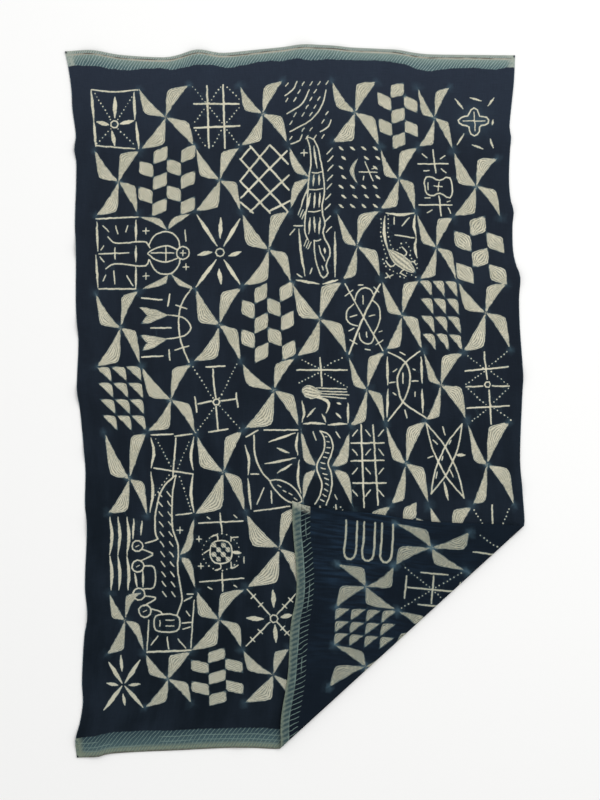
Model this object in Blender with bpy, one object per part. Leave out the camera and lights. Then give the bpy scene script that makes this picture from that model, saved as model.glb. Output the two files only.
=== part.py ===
"""Adire cloth: one length of indigo-dyed cotton lying on a flat surface.

The cloth is a single sheet. It lies face up, and its lower right corner is
folded up and to the left, so that the reverse of that corner shows.

Axes: +X runs across the cloth to the right, +Y runs along it to the top end,
+Z points up. The origin is at the middle of the cloth's box, on the surface
that it lies on. All sizes are in metres.
"""

import math
from collections import namedtuple

import bmesh
import bpy
from mathutils import Vector

# Driving sizes
CLOTH_LENGTH = 1.410
CLOTH_THICKNESS = 0.0012
HEM_THICKNESS = 0.0020
HEM_WIDTH = 0.008
HEM_SHOULDER = 0.005

# The folded corner
FOLD_POINT = Vector((0.207, -0.476))
FOLD_ANGLE = math.radians(42.4)
LAYER_GAP = 0.0020
ROLL_SPREAD = 0.090

# The net that the sheet is made of, and the extra rows of points along the fold
NET_COLUMNS = 46
NET_ROWS = 72
ROLL_STEPS = 6
SPREAD_STEPS = 3
SHORTEST_EDGE = 0.0015

# Colour and finish of the dyed cotton
INDIGO = (0.022, 0.034, 0.062, 1.0)
COTTON_ROUGHNESS = 0.92

# The sheet's four edges as they lie. A side row gives the distance down from the
# top end and the edge's x. An end row gives x and the edge's y. The rows below
# the fold describe the folded corner as it would lie if it were opened out.
SideRow = namedtuple("SideRow", "down x")
EndRow = namedtuple("EndRow", "x y")

LEFT_SIDE = (
    SideRow(0.000, -0.460),
    SideRow(0.028, -0.454),
    SideRow(0.076, -0.447),
    SideRow(0.116, -0.445),
    SideRow(0.170, -0.438),
    SideRow(0.196, -0.441),
    SideRow(0.226, -0.437),
    SideRow(0.346, -0.440),
    SideRow(0.390, -0.438),
    SideRow(0.516, -0.438),
    SideRow(0.580, -0.433),
    SideRow(0.672, -0.436),
    SideRow(0.716, -0.430),
    SideRow(0.776, -0.424),
    SideRow(0.840, -0.419),
    SideRow(0.906, -0.420),
    SideRow(0.948, -0.416),
    SideRow(1.072, -0.420),
    SideRow(1.130, -0.415),
    SideRow(1.166, -0.421),
    SideRow(1.260, -0.426),
    SideRow(1.300, -0.424),
    SideRow(1.340, -0.430),
    SideRow(1.376, -0.439),
    SideRow(1.410, -0.436),
)

RIGHT_SIDE = (
    SideRow(0.000, 0.440),
    SideRow(0.050, 0.438),
    SideRow(0.090, 0.434),
    SideRow(0.145, 0.429),
    SideRow(0.165, 0.432),
    SideRow(0.190, 0.430),
    SideRow(0.253, 0.428),
    SideRow(0.295, 0.432),
    SideRow(0.312, 0.437),
    SideRow(0.341, 0.435),
    SideRow(0.390, 0.436),
    SideRow(0.420, 0.442),
    SideRow(0.443, 0.450),
    SideRow(0.490, 0.448),
    SideRow(0.549, 0.450),
    SideRow(0.640, 0.456),
    SideRow(0.690, 0.454),
    SideRow(0.809, 0.450),
    SideRow(0.863, 0.454),
    SideRow(0.930, 0.459),
    SideRow(0.990, 0.460),
    SideRow(1.110, 0.453),
    SideRow(1.190, 0.454),
    SideRow(1.235, 0.458),
    SideRow(1.375, 0.461),
    SideRow(1.410, 0.469),
)

TOP_END = (
    EndRow(-0.460, 0.701),
    EndRow(-0.405, 0.703),
    EndRow(-0.350, 0.694),
    EndRow(-0.264, 0.689),
    EndRow(-0.240, 0.692),
    EndRow(-0.196, 0.704),
    EndRow(-0.146, 0.698),
    EndRow(-0.090, 0.703),
    EndRow(-0.030, 0.709),
    EndRow(0.015, 0.714),
    EndRow(0.054, 0.714),
    EndRow(0.110, 0.709),
    EndRow(0.200, 0.704),
    EndRow(0.240, 0.698),
    EndRow(0.270, 0.695),
    EndRow(0.440, 0.693),
)

BOTTOM_END = (
    EndRow(-0.439, -0.711),
    EndRow(-0.394, -0.709),
    EndRow(-0.376, -0.704),
    EndRow(-0.324, -0.700),
    EndRow(-0.230, -0.696),
    EndRow(-0.172, -0.693),
    EndRow(-0.110, -0.691),
    EndRow(-0.038, -0.694),
    EndRow(0.030, -0.700),
    EndRow(0.120, -0.694),
    EndRow(0.220, -0.697),
    EndRow(0.272, -0.692),
    EndRow(0.310, -0.693),
    EndRow(0.350, -0.699),
    EndRow(0.410, -0.710),
    EndRow(0.469, -0.717),
)

# The roll along the fold: outer radius, by distance from its lower left end
RollRow = namedtuple("RollRow", "along radius")
FOLD_START = Vector((-0.038, -0.700))
ROLL = (
    RollRow(-0.100, 0.0060),
    RollRow(0.000, 0.0058),
    RollRow(0.070, 0.0048),
    RollRow(0.250, 0.0044),
    RollRow(0.430, 0.0048),
    RollRow(0.600, 0.0044),
    RollRow(0.700, 0.0052),
    RollRow(0.800, 0.0052),
)

# Soft ridges that lift the sheet. Each starts at x, y with its full height and
# fades out at end_x, end_y. half_width is from its crest to where it lies flat.
Ridge = namedtuple("Ridge", "x y end_x end_y height half_width")

SHEET_RIDGES = (
    # From the left selvedge, top to bottom
    Ridge(-0.445, 0.504, -0.355, 0.512, 0.0040, 0.026),
    Ridge(-0.442, 0.306, -0.350, 0.330, 0.0050, 0.030),
    Ridge(-0.438, 0.152, -0.350, 0.162, 0.0040, 0.028),
    Ridge(-0.440, 0.016, -0.270, 0.008, 0.0065, 0.032),
    Ridge(-0.425, -0.100, -0.355, -0.102, 0.0030, 0.028),
    Ridge(-0.420, -0.248, -0.340, -0.250, 0.0040, 0.034),
    Ridge(-0.420, -0.430, -0.350, -0.424, 0.0040, 0.030),
    Ridge(-0.443, -0.672, -0.370, -0.664, 0.0045, 0.028),
    # From the right selvedge, top to bottom
    Ridge(0.436, 0.528, 0.370, 0.532, 0.0035, 0.024),
    Ridge(0.441, 0.384, 0.350, 0.398, 0.0050, 0.028),
    Ridge(0.454, 0.248, 0.350, 0.268, 0.0055, 0.030),
    Ridge(0.458, 0.052, 0.370, 0.046, 0.0045, 0.028),
    Ridge(0.457, -0.170, 0.390, -0.160, 0.0035, 0.026),
    # From the top end, left to right
    Ridge(-0.410, 0.708, -0.400, 0.640, 0.0035, 0.034),
    Ridge(-0.196, 0.709, -0.186, 0.610, 0.0050, 0.036),
    Ridge(0.014, 0.720, -0.006, 0.500, 0.0070, 0.036),
    Ridge(0.086, 0.716, 0.066, 0.610, 0.0040, 0.032),
    Ridge(0.204, 0.708, 0.212, 0.640, 0.0035, 0.030),
    # From the bottom end, left to right
    Ridge(-0.394, -0.714, -0.386, -0.650, 0.0035, 0.028),
    Ridge(-0.112, -0.696, -0.118, -0.640, 0.0030, 0.034),
)

CORNER_RIDGES = (
    # Lifts of the folded corner itself, over what it lies on
    Ridge(-0.010, -0.192, 0.080, -0.260, 0.0030, 0.040),
    Ridge(0.130, -0.212, 0.250, -0.300, 0.0030, 0.034),
    Ridge(-0.030, -0.600, 0.060, -0.560, 0.0020, 0.040),
)


def smooth_curve(rows, distance):
    """The value of a two-column table at a distance, on a smooth curve through its rows.

    Between two rows the curve is a cubic. Its slope at a row is the slope of the
    line that joins the rows on either side.
    """
    last = len(rows) - 1
    if distance <= rows[0][0]:
        return rows[0][1]
    if distance >= rows[last][0]:
        return rows[last][1]
    first = max(index for index in range(last) if rows[index][0] <= distance)

    def slope(index):
        before = rows[max(index - 1, 0)]
        after = rows[min(index + 1, last)]
        return (after[1] - before[1]) / (after[0] - before[0])

    start, value = rows[first]
    end, next_value = rows[first + 1]
    span = end - start
    part = (distance - start) / span
    square = part * part
    cube = square * part
    return (
        (2 * cube - 3 * square + 1) * value
        + (cube - 2 * square + part) * span * slope(first)
        + (3 * square - 2 * cube) * next_value
        + (cube - square) * span * slope(first + 1)
    )


def soft_step(part):
    """0 below 0, 1 above 1, and an S curve between."""
    part = min(max(part, 0.0), 1.0)
    return part * part * (3 - 2 * part)


def opened_place(across, down):
    """Where a point of the sheet would lie if the corner were opened out.

    across runs from 0 at the left selvedge to 1 at the right, down from 0 at the
    top end to 1 at the bottom.
    """
    left = smooth_curve(LEFT_SIDE, down * CLOTH_LENGTH)
    right = smooth_curve(RIGHT_SIDE, down * CLOTH_LENGTH)
    x = left + (right - left) * across
    top = smooth_curve(TOP_END, x)
    bottom = smooth_curve(BOTTOM_END, x)
    return Vector((x, top + (bottom - top) * down))


def ridge_height(ridges, place):
    """How far the ridges lift a place: the highest of them, each a soft hump."""
    highest = 0.0
    for ridge in ridges:
        start = Vector((ridge.x, ridge.y))
        run = Vector((ridge.end_x, ridge.end_y)) - start
        length = run.length
        along = (place - start).dot(run) / length
        aside = abs((place - start).cross(run)) / length
        if along > length or aside > ridge.half_width:
            continue
        hump = math.cos(0.5 * math.pi * aside / ridge.half_width) ** 2
        fade = 1.0 - soft_step(along / length)
        highest = max(highest, ridge.height * hump * fade)
    return highest


def fold_frame():
    """The fold line's direction, up to the right, and its normal to the corner."""
    direction = Vector((math.cos(FOLD_ANGLE), math.sin(FOLD_ANGLE)))
    normal = Vector((math.sin(FOLD_ANGLE), -math.cos(FOLD_ANGLE)))
    return direction, normal


def folded_place(opened):
    """Where a point of the reverse face lies, from its place on the opened sheet.

    Short of the roll it stays. Along the roll it climbs half a circle. Past the
    roll it comes back over the sheet, from the roll's height down to a rest
    height of two thicknesses and the gap.
    """
    direction, normal = fold_frame()
    radius = smooth_curve(ROLL, (opened - FOLD_START).dot(direction))
    reach = (opened - FOLD_POINT).dot(normal) + radius
    if reach <= 0.0:
        return opened, 0.0, False
    foot = opened - normal * reach
    if reach < math.pi * radius:
        turn = reach / radius
        return foot + normal * radius * math.sin(turn), radius * (1.0 - math.cos(turn)), False
    back = reach - math.pi * radius
    rest = 2.0 * CLOTH_THICKNESS + LAYER_GAP
    height = rest + (2.0 * radius - rest) * (1.0 - soft_step(back / ROLL_SPREAD))
    return foot - normal * back, height, True


def cut_along(net, offset):
    """Adds a row of points to the flat net, parallel to the fold line."""
    normal = fold_frame()[1]
    start = FOLD_POINT + normal * offset
    bmesh.ops.bisect_plane(
        net,
        geom=net.verts[:] + net.edges[:] + net.faces[:],
        dist=0.00002,
        plane_co=start.to_3d(),
        plane_no=normal.to_3d(),
    )


def flat_net():
    """The opened sheet as a flat triangle net, with its hem shares in a layer.

    A hem share of 1 marks a point in the turned hem of an end, and 0 the rest.
    """
    net = bmesh.new()
    share = net.verts.layers.float.new("hem")
    hem = HEM_WIDTH / CLOTH_LENGTH
    first = (HEM_WIDTH + HEM_SHOULDER) / CLOTH_LENGTH
    inner_rows = [first + (1.0 - 2.0 * first) * row / NET_ROWS for row in range(NET_ROWS + 1)]
    rows = [0.0, hem] + inner_rows + [1.0 - hem, 1.0]
    grid = []
    for down in rows:
        line = []
        for column in range(NET_COLUMNS + 1):
            vertex = net.verts.new(opened_place(column / NET_COLUMNS, down).to_3d())
            vertex[share] = 1.0 if down <= hem or down >= 1.0 - hem else 0.0
            line.append(vertex)
        grid.append(line)
    for upper, lower in zip(grid, grid[1:]):
        for column in range(NET_COLUMNS):
            net.faces.new((upper[column], lower[column], lower[column + 1], upper[column + 1]))

    radius = sum(row.radius for row in ROLL) / len(ROLL)
    for step in range(ROLL_STEPS + 1):
        cut_along(net, radius * (math.pi * step / ROLL_STEPS - 1.0))
    for step in range(SPREAD_STEPS):
        cut_along(net, radius * (math.pi - 1.0) + ROLL_SPREAD * (step + 1) / SPREAD_STEPS)
    bmesh.ops.remove_doubles(net, verts=net.verts[:], dist=SHORTEST_EDGE)
    bmesh.ops.triangulate(net, faces=net.faces[:])
    return net, share


def cotton_material():
    material = bpy.data.materials.new("indigo_cotton")
    material.use_nodes = True
    material.diffuse_color = INDIGO
    shader = material.node_tree.nodes["Principled BSDF"]
    shader.inputs["Base Color"].default_value = INDIGO
    shader.inputs["Roughness"].default_value = COTTON_ROUGHNESS
    shader.inputs["Metallic"].default_value = 0.0
    return material


def make_cloth():
    """Folds the flat net, lifts it over its ridges and gives it its thickness."""
    net, share = flat_net()
    hem_points = []
    for index, vertex in enumerate(net.verts):
        if vertex[share] > 0.5:
            hem_points.append(index)
        place, height, on_corner = folded_place(vertex.co.to_2d())
        height += ridge_height(SHEET_RIDGES, place)
        if on_corner:
            height += ridge_height(CORNER_RIDGES, place)
        vertex.co = (place.x, place.y, height)

    lows = [min(vertex.co[axis] for vertex in net.verts) for axis in range(2)]
    highs = [max(vertex.co[axis] for vertex in net.verts) for axis in range(2)]
    middle = Vector([(low + high) / 2 for low, high in zip(lows, highs)]).to_3d()
    bmesh.ops.translate(net, verts=net.verts[:], vec=-middle)

    mesh = bpy.data.meshes.new("adire_cloth")
    net.to_mesh(mesh)
    net.free()
    cloth = bpy.data.objects.new("adire_cloth", mesh)
    bpy.context.scene.collection.objects.link(cloth)
    mesh.materials.append(cotton_material())

    group = cloth.vertex_groups.new(name="thickness")
    group.add(range(len(mesh.vertices)), CLOTH_THICKNESS / HEM_THICKNESS, "REPLACE")
    group.add(hem_points, 1.0, "REPLACE")
    wall = cloth.modifiers.new("thickness", "SOLIDIFY")
    wall.thickness = HEM_THICKNESS
    wall.offset = 1.0
    wall.vertex_group = group.name
    wall.use_rim = True
    mesh.shade_smooth()
    mesh.set_sharp_from_angle(angle=math.radians(50))
    return cloth


def clear_scene():
    for thing in list(bpy.data.objects):
        bpy.data.objects.remove(thing, do_unlink=True)


clear_scene()
make_cloth()
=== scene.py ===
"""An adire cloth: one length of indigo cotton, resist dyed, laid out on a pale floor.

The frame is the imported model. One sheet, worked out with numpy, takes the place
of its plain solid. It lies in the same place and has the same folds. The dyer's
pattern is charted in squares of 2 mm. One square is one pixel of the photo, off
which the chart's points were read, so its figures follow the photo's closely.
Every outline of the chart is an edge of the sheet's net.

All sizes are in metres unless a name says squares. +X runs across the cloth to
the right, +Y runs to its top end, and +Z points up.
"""

import math
from collections import namedtuple

import bpy
import numpy as np
from bpy.props import FloatProperty, FloatVectorProperty, IntProperty, PointerProperty
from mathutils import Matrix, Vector
from mathutils.geometry import delaunay_2d_cdt


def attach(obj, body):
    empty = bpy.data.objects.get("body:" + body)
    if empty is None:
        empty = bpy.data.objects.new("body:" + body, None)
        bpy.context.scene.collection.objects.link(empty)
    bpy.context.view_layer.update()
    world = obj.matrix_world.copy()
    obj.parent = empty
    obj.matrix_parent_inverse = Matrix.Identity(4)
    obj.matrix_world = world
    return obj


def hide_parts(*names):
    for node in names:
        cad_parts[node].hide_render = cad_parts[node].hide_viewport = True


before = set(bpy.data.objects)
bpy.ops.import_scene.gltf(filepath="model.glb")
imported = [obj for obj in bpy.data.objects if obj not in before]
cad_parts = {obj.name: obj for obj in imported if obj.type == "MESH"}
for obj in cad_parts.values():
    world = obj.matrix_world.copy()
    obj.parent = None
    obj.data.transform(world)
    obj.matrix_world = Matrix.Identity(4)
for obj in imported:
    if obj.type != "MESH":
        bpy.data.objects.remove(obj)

bl_info = {
    "name": "Adire cloth",
    "version": (1, 0, 0),
    "blender": (4, 5, 0),
    "location": "3D View > Sidebar > Adire",
    "description": "Lays out an indigo resist-dyed cloth and the plain stage under it",
    "category": "Object",
}

CLOTH_NODE = "adire_cloth"

# The sheet's four edges as they lie, with the folded corner opened out. A side
# row gives the distance down from the top end and the edge's x. An end row gives
# x and the edge's y.
SideRow = namedtuple("SideRow", "down x")
EndRow = namedtuple("EndRow", "x y")

LEFT_SIDE = (
    SideRow(0.000, -0.460),
    SideRow(0.028, -0.454),
    SideRow(0.076, -0.447),
    SideRow(0.116, -0.445),
    SideRow(0.170, -0.438),
    SideRow(0.196, -0.441),
    SideRow(0.226, -0.437),
    SideRow(0.346, -0.440),
    SideRow(0.390, -0.438),
    SideRow(0.516, -0.438),
    SideRow(0.580, -0.433),
    SideRow(0.672, -0.436),
    SideRow(0.716, -0.430),
    SideRow(0.776, -0.424),
    SideRow(0.840, -0.419),
    SideRow(0.906, -0.420),
    SideRow(0.948, -0.416),
    SideRow(1.072, -0.420),
    SideRow(1.130, -0.415),
    SideRow(1.166, -0.421),
    SideRow(1.260, -0.426),
    SideRow(1.300, -0.424),
    SideRow(1.340, -0.430),
    SideRow(1.376, -0.439),
    SideRow(1.410, -0.436),
)

RIGHT_SIDE = (
    SideRow(0.000, 0.440),
    SideRow(0.050, 0.438),
    SideRow(0.090, 0.434),
    SideRow(0.145, 0.429),
    SideRow(0.165, 0.432),
    SideRow(0.190, 0.430),
    SideRow(0.253, 0.428),
    SideRow(0.295, 0.432),
    SideRow(0.312, 0.437),
    SideRow(0.341, 0.435),
    SideRow(0.390, 0.436),
    SideRow(0.420, 0.442),
    SideRow(0.443, 0.450),
    SideRow(0.490, 0.448),
    SideRow(0.549, 0.450),
    SideRow(0.640, 0.456),
    SideRow(0.690, 0.454),
    SideRow(0.809, 0.450),
    SideRow(0.863, 0.454),
    SideRow(0.930, 0.459),
    SideRow(0.990, 0.460),
    SideRow(1.110, 0.453),
    SideRow(1.190, 0.454),
    SideRow(1.235, 0.458),
    SideRow(1.375, 0.461),
    SideRow(1.410, 0.469),
)

TOP_END = (
    EndRow(-0.460, 0.701),
    EndRow(-0.405, 0.703),
    EndRow(-0.350, 0.694),
    EndRow(-0.264, 0.689),
    EndRow(-0.240, 0.692),
    EndRow(-0.196, 0.704),
    EndRow(-0.146, 0.698),
    EndRow(-0.090, 0.703),
    EndRow(-0.030, 0.709),
    EndRow(0.015, 0.714),
    EndRow(0.054, 0.714),
    EndRow(0.110, 0.709),
    EndRow(0.200, 0.704),
    EndRow(0.240, 0.698),
    EndRow(0.270, 0.695),
    EndRow(0.440, 0.693),
)

BOTTOM_END = (
    EndRow(-0.439, -0.711),
    EndRow(-0.394, -0.709),
    EndRow(-0.376, -0.704),
    EndRow(-0.324, -0.700),
    EndRow(-0.230, -0.696),
    EndRow(-0.172, -0.693),
    EndRow(-0.110, -0.691),
    EndRow(-0.038, -0.694),
    EndRow(0.030, -0.700),
    EndRow(0.120, -0.694),
    EndRow(0.220, -0.697),
    EndRow(0.272, -0.692),
    EndRow(0.310, -0.693),
    EndRow(0.350, -0.699),
    EndRow(0.410, -0.710),
    EndRow(0.469, -0.717),
)

# The folded corner: two places on its fold, the gap between it and what it lies
# on, and how far past the roll it comes down to that. The roll along the fold has
# its outer radius by the distance from the fold's lower left end.
FOLD_POINT = np.array([0.207, -0.476])
FOLD_START = np.array([-0.038, -0.700])
LAYER_GAP = 0.0020
ROLL_SPREAD = 0.090
RollRow = namedtuple("RollRow", "along radius")
ROLL = (
    RollRow(-0.100, 0.0060),
    RollRow(0.000, 0.0058),
    RollRow(0.070, 0.0048),
    RollRow(0.250, 0.0044),
    RollRow(0.430, 0.0048),
    RollRow(0.600, 0.0044),
    RollRow(0.700, 0.0052),
    RollRow(0.800, 0.0052),
)

# Soft ridges that lift the sheet. Each starts at x, y with its full height and
# fades out at end_x, end_y. half_width is from its crest to where it lies flat.
Ridge = namedtuple("Ridge", "x y end_x end_y height half_width")

SHEET_RIDGES = (
    # From the left selvedge, top to bottom
    Ridge(-0.445, 0.504, -0.355, 0.512, 0.0040, 0.026),
    Ridge(-0.442, 0.306, -0.350, 0.330, 0.0050, 0.030),
    Ridge(-0.438, 0.152, -0.350, 0.162, 0.0040, 0.028),
    Ridge(-0.440, 0.016, -0.270, 0.008, 0.0065, 0.032),
    Ridge(-0.425, -0.100, -0.355, -0.102, 0.0030, 0.028),
    Ridge(-0.420, -0.248, -0.340, -0.250, 0.0040, 0.034),
    Ridge(-0.420, -0.430, -0.350, -0.424, 0.0040, 0.030),
    Ridge(-0.443, -0.672, -0.370, -0.664, 0.0045, 0.028),
    # From the right selvedge, top to bottom
    Ridge(0.436, 0.528, 0.370, 0.532, 0.0035, 0.024),
    Ridge(0.441, 0.384, 0.350, 0.398, 0.0050, 0.028),
    Ridge(0.454, 0.248, 0.350, 0.268, 0.0055, 0.030),
    Ridge(0.458, 0.052, 0.370, 0.046, 0.0045, 0.028),
    Ridge(0.457, -0.170, 0.390, -0.160, 0.0035, 0.026),
    # From the top end, left to right
    Ridge(-0.410, 0.708, -0.400, 0.640, 0.0035, 0.034),
    Ridge(-0.196, 0.709, -0.186, 0.610, 0.0050, 0.036),
    Ridge(0.014, 0.720, -0.006, 0.500, 0.0070, 0.036),
    Ridge(0.086, 0.716, 0.066, 0.610, 0.0040, 0.032),
    Ridge(0.204, 0.708, 0.212, 0.640, 0.0035, 0.030),
    # From the bottom end, left to right
    Ridge(-0.394, -0.714, -0.386, -0.650, 0.0035, 0.028),
    Ridge(-0.112, -0.696, -0.118, -0.640, 0.0030, 0.034),
)

CORNER_RIDGES = (
    # Lifts of the folded corner itself, over what it lies on
    Ridge(-0.010, -0.192, 0.080, -0.260, 0.0030, 0.040),
    Ridge(0.130, -0.212, 0.250, -0.300, 0.0030, 0.034),
    Ridge(-0.030, -0.600, 0.060, -0.560, 0.0020, 0.040),
)

# Slack in the weave: low waves, each with the length and direction of its run
Wave = namedtuple("Wave", "length degrees height start")
SLACK = (
    Wave(0.310, 12, 0.00030, 0.4),
    Wave(0.190, 71, 0.00026, 2.1),
    Wave(0.127, 133, 0.00020, 1.3),
    Wave(0.083, 38, 0.00012, 5.2),
    Wave(0.061, 101, 0.00008, 3.7),
)

# The net that the sheet is made of: an even grid whose points are shaken a little,
# with more columns beside each selvedge and more rows in each hem, at these
# distances from it
GRID_STEP = 0.0110
GRID_SHAKE = 0.0016
GRID_SEED = 7
SELVEDGE_COLUMNS = (0.002, 0.005)
HEM_ROWS = (0.0, 0.0008, 0.0024, 0.0046, 0.0066, 0.0078, 0.0088, 0.0100, 0.0130)
# Rows of points round the roll, and where each starts and ends along the fold
ROLL_ROWS = 12
ROLL_START = -0.02
ROLL_END = 0.80
ROLL_STEP = 0.012
# No outline is drawn this near a selvedge or an end, as a share of the cloth
SELVEDGE_MARGIN = 0.004
END_MARGIN = 0.002
# The net is joined up in millimetres, and points closer than this are one point
MILLIMETRES = 1000.0
NET_EPSILON_MM = 0.02
# Triangles with less than this for twice their area are left out
FLAT_TRIANGLE = 1e-12
# Keeps a length that may be 0 from dividing anything
TINY = 1e-15
SHARP_ANGLE = math.radians(50)

# The hems' relief. The seam's groove reaches this far on either side, and is this
# share of the plain thickness deep. Twisted threads swell the hem by a share of
# its height, once in each pitch. The reverse shows a share of the hem's height.
GROOVE_REACH = 0.0009
GROOVE_DEPTH = 0.3
SWELL = 0.10
SWELL_PITCH = 0.0071
REVERSE_SHARE = 0.6

# The bake's own map has the front on the left and the reverse, narrower, on the
# right: where each starts, and how far it goes
MapPart = namedtuple("MapPart", "start size")
FRONT_MAP = MapPart(0.008, 0.618)
REVERSE_MAP = MapPart(0.642, 0.350)
MAP_HEIGHT = MapPart(0.008, 0.984)

# The chart is counted in squares of 2 mm, to the right and down from this place on
# the floor. A square is one pixel of the photo, and the place is its top left corner
CHART_SQUARE = 0.002
CHART_ZERO = np.array([-0.590, 0.804])

# The dried paste is this share of the stroke's charted width
BRUSH = 0.66

# Paste soaks this far past each outline, and its stain this many times as far
SOAK = 0.0007
STAIN = 2.0
# Past this far from the paste nothing of it shows
REACH = 0.012
# A patch's inner outline is this many soaks in from its edges, and no more than
# this share of the way to the other edge
INNER_SOAKS = 1.3
INNER_SHARE = 0.42

# The dyer's hand, in squares of the chart: the points of a stroke are a step
# apart, and shakes move them, dots and the outlines of patches. Widths and radii
# vary by shares of themselves, and no stroke's half width is under the least one.
PATH_STEP = 3.6
PATH_SHAKE = 0.13
DOT_SHAKE = 0.22
PATCH_SHAKE = 0.22
WIDTH_SHAKE = 0.07
RADIUS_SHAKE = 0.16
LEAST_HALF_WIDTH = 0.3
# A plain stroke is a little narrower at its ends. A leaf swells by a power of a
# sine, which starts and stops just short of its ends, over at least these stretches.
END_WIDTH = 0.78
MIDDLE_SWELL = 0.22
LEAF_SWELL = 1.25
LEAF_POWER = 0.75
LEAF_TIP = 0.04
LEAF_STRETCHES = 8
# The inner edge of a blade leans this share of the way to its corner, shaken
HOLLOW = 0.11
HOLLOW_SHAKE = 0.08
# A patch's edge is first worked out at this many points
CONIC_POINTS = 65

# The board of nine by nine tiles that the dyer ruled first. Each row below is one
# of its ten level lines, from the top one down: in squares of the chart, how far
# across its ten corners are, left to right, and in the second table how far down.
BOARD_TILES = 9
BOARD_ACROSS = (
    (91, 138, 190, 239, 283, 331, 377, 417, 450, 497),
    (94, 140, 195, 240, 288, 332, 380, 418, 453, 498),
    (95, 138, 195, 241, 289, 336, 380, 416, 453, 501),
    (95, 139, 195, 242, 292, 343, 381, 419, 457, 507),
    (96, 141, 192, 241, 296, 348, 385, 423, 463, 511),
    (104, 147, 196, 243, 300, 350, 385, 426, 467, 510),
    (107, 148, 194, 246, 303, 354, 391, 429, 472, 515),
    (109, 140, 196, 246, 299, 348, 388, 430, 475, 515),
    (106, 145, 191, 242, 290, 342, 390, 430, 474, 517),
    (103, 144, 192, 244, 293, 347, 390, 427, 471, 514),
)
BOARD_DOWN = (
    (89, 88, 84, 85, 80, 80, 81, 87, 87, 92),
    (149, 150, 147, 147, 144, 143, 147, 147, 151, 158),
    (217, 215, 212, 212, 211, 211, 210, 212, 217, 219),
    (292, 290, 288, 287, 284, 281, 279, 280, 281, 283),
    (367, 366, 363, 362, 357, 355, 351, 351, 352, 351),
    (431, 432, 434, 430, 428, 427, 424, 421, 421, 421),
    (515, 517, 515, 513, 504, 510, 505, 505, 506, 507),
    (592, 592, 590, 588, 588, 586, 583, 582, 581, 580),
    (655, 653, 651, 649, 648, 647, 646, 646, 653, 657),
    (709, 708, 704, 703, 703, 708, 706, 708, 711, 709),
)


def smooth_curve(rows, distance):
    """The values of a two-column table at many distances, on a smooth curve through its rows.

    Between two rows the curve is a cubic. Its slope at a row is the slope of the
    line that joins the rows on either side.
    """
    table = np.array(rows, dtype=float)
    keys = table[:, 0]
    values = table[:, 1]
    place = np.arange(len(keys))
    before = np.maximum(place - 1, 0)
    after = np.minimum(place + 1, len(keys) - 1)
    slopes = (values[after] - values[before]) / (keys[after] - keys[before])
    distance = np.clip(distance, keys[0], keys[-1])
    first = np.clip(np.searchsorted(keys, distance, side="right") - 1, 0, len(keys) - 2)
    span = keys[first + 1] - keys[first]
    part = (distance - keys[first]) / span
    square = part * part
    cube = square * part
    return (
        (2 * cube - 3 * square + 1) * values[first]
        + (cube - 2 * square + part) * span * slopes[first]
        + (3 * square - 2 * cube) * values[first + 1]
        + (cube - square) * span * slopes[first + 1]
    )


def soft_step(part):
    """0 below 0, 1 above 1, and an S curve between."""
    part = np.clip(part, 0.0, 1.0)
    return part * part * (3 - 2 * part)


def lengths_along(points):
    """How far along a path of straight stretches each of its points is."""
    return np.concatenate([[0.0], np.cumsum(np.linalg.norm(np.diff(points, axis=0), axis=1))])


def places_along(points, keys, stations):
    """Where stations are on a path whose points have these keys, in straight stretches."""
    return np.stack([np.interp(stations, keys, points[:, axis]) for axis in (0, 1)], axis=1)


def circle_points(degrees):
    """Points on a circle of radius 1 at these degrees."""
    turn = np.radians(degrees)
    return np.stack([np.cos(turn), np.sin(turn)], axis=1)


def side_step(run):
    """A unit step to the side of a run."""
    along = run / np.linalg.norm(run)
    return np.array((-along[1], along[0]))


def smooth_path(points, step, closed=False):
    """A smooth path through a few points, as points about a step apart.

    Each stretch is a cubic whose slope at a point is the slope of the line that
    joins the points on either side, measured along the path.
    """
    points = np.array(points, dtype=float)
    if closed:
        points = np.concatenate([points[-2:], points, points[:3]])
    along = lengths_along(points)
    start, end = 0.0, along[-1]
    if closed:
        start, end = along[2], along[-3]
    count = max(int(math.ceil((end - start) / step)), 2 if closed else 1) + 1
    stations = np.linspace(start, end, count)
    tables = [np.stack([along, points[:, axis]], axis=1) for axis in (0, 1)]
    path = np.stack([smooth_curve(table, stations) for table in tables], axis=1)
    return path[:-1] if closed else path


def conic(start, control, end, weight, count):
    """Points on a curve from start to end that leans towards control.

    It is the mean of the three points under the weights (1-t)^2, 2wt(1-t) and
    t^2. A large w brings it close to control. Even steps of t would crowd the
    points at the bend, so the steps are even in the mean of t and the share of
    the curve's length.
    """
    even = np.linspace(0.0, 1.0, CONIC_POINTS)
    part = even[:, None]
    shares = ((1 - part) ** 2, 2 * weight * part * (1 - part), part ** 2)
    total = shares[0] + shares[1] + shares[2]
    curve = (shares[0] * start + shares[1] * control + shares[2] * end) / total
    along = lengths_along(curve)
    stations = np.interp(np.linspace(0.0, 1.0, count), 0.5 * (even + along / along[-1]), even)
    return places_along(curve, even, stations)


def gap_to_path(places, path, halves=None):
    """The distance from many places to a path of straight stretches, less its half width there.

    Each stretch's nearest point is its start plus the clipped share of its run
    that the place projects to. The least over all stretches counts.
    """
    start = path[:-1]
    run = path[1:] - start
    offset = places[:, None, :] - start[None]
    share = (offset * run).sum(axis=2) / np.maximum((run * run).sum(axis=1), TINY)
    share = np.clip(share, 0.0, 1.0)
    gap = np.linalg.norm(offset - share[:, :, None] * run, axis=2)
    if halves is not None:
        gap = gap - (halves[:-1] + (halves[1:] - halves[:-1]) * share)
    return gap.min(axis=1)


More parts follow.
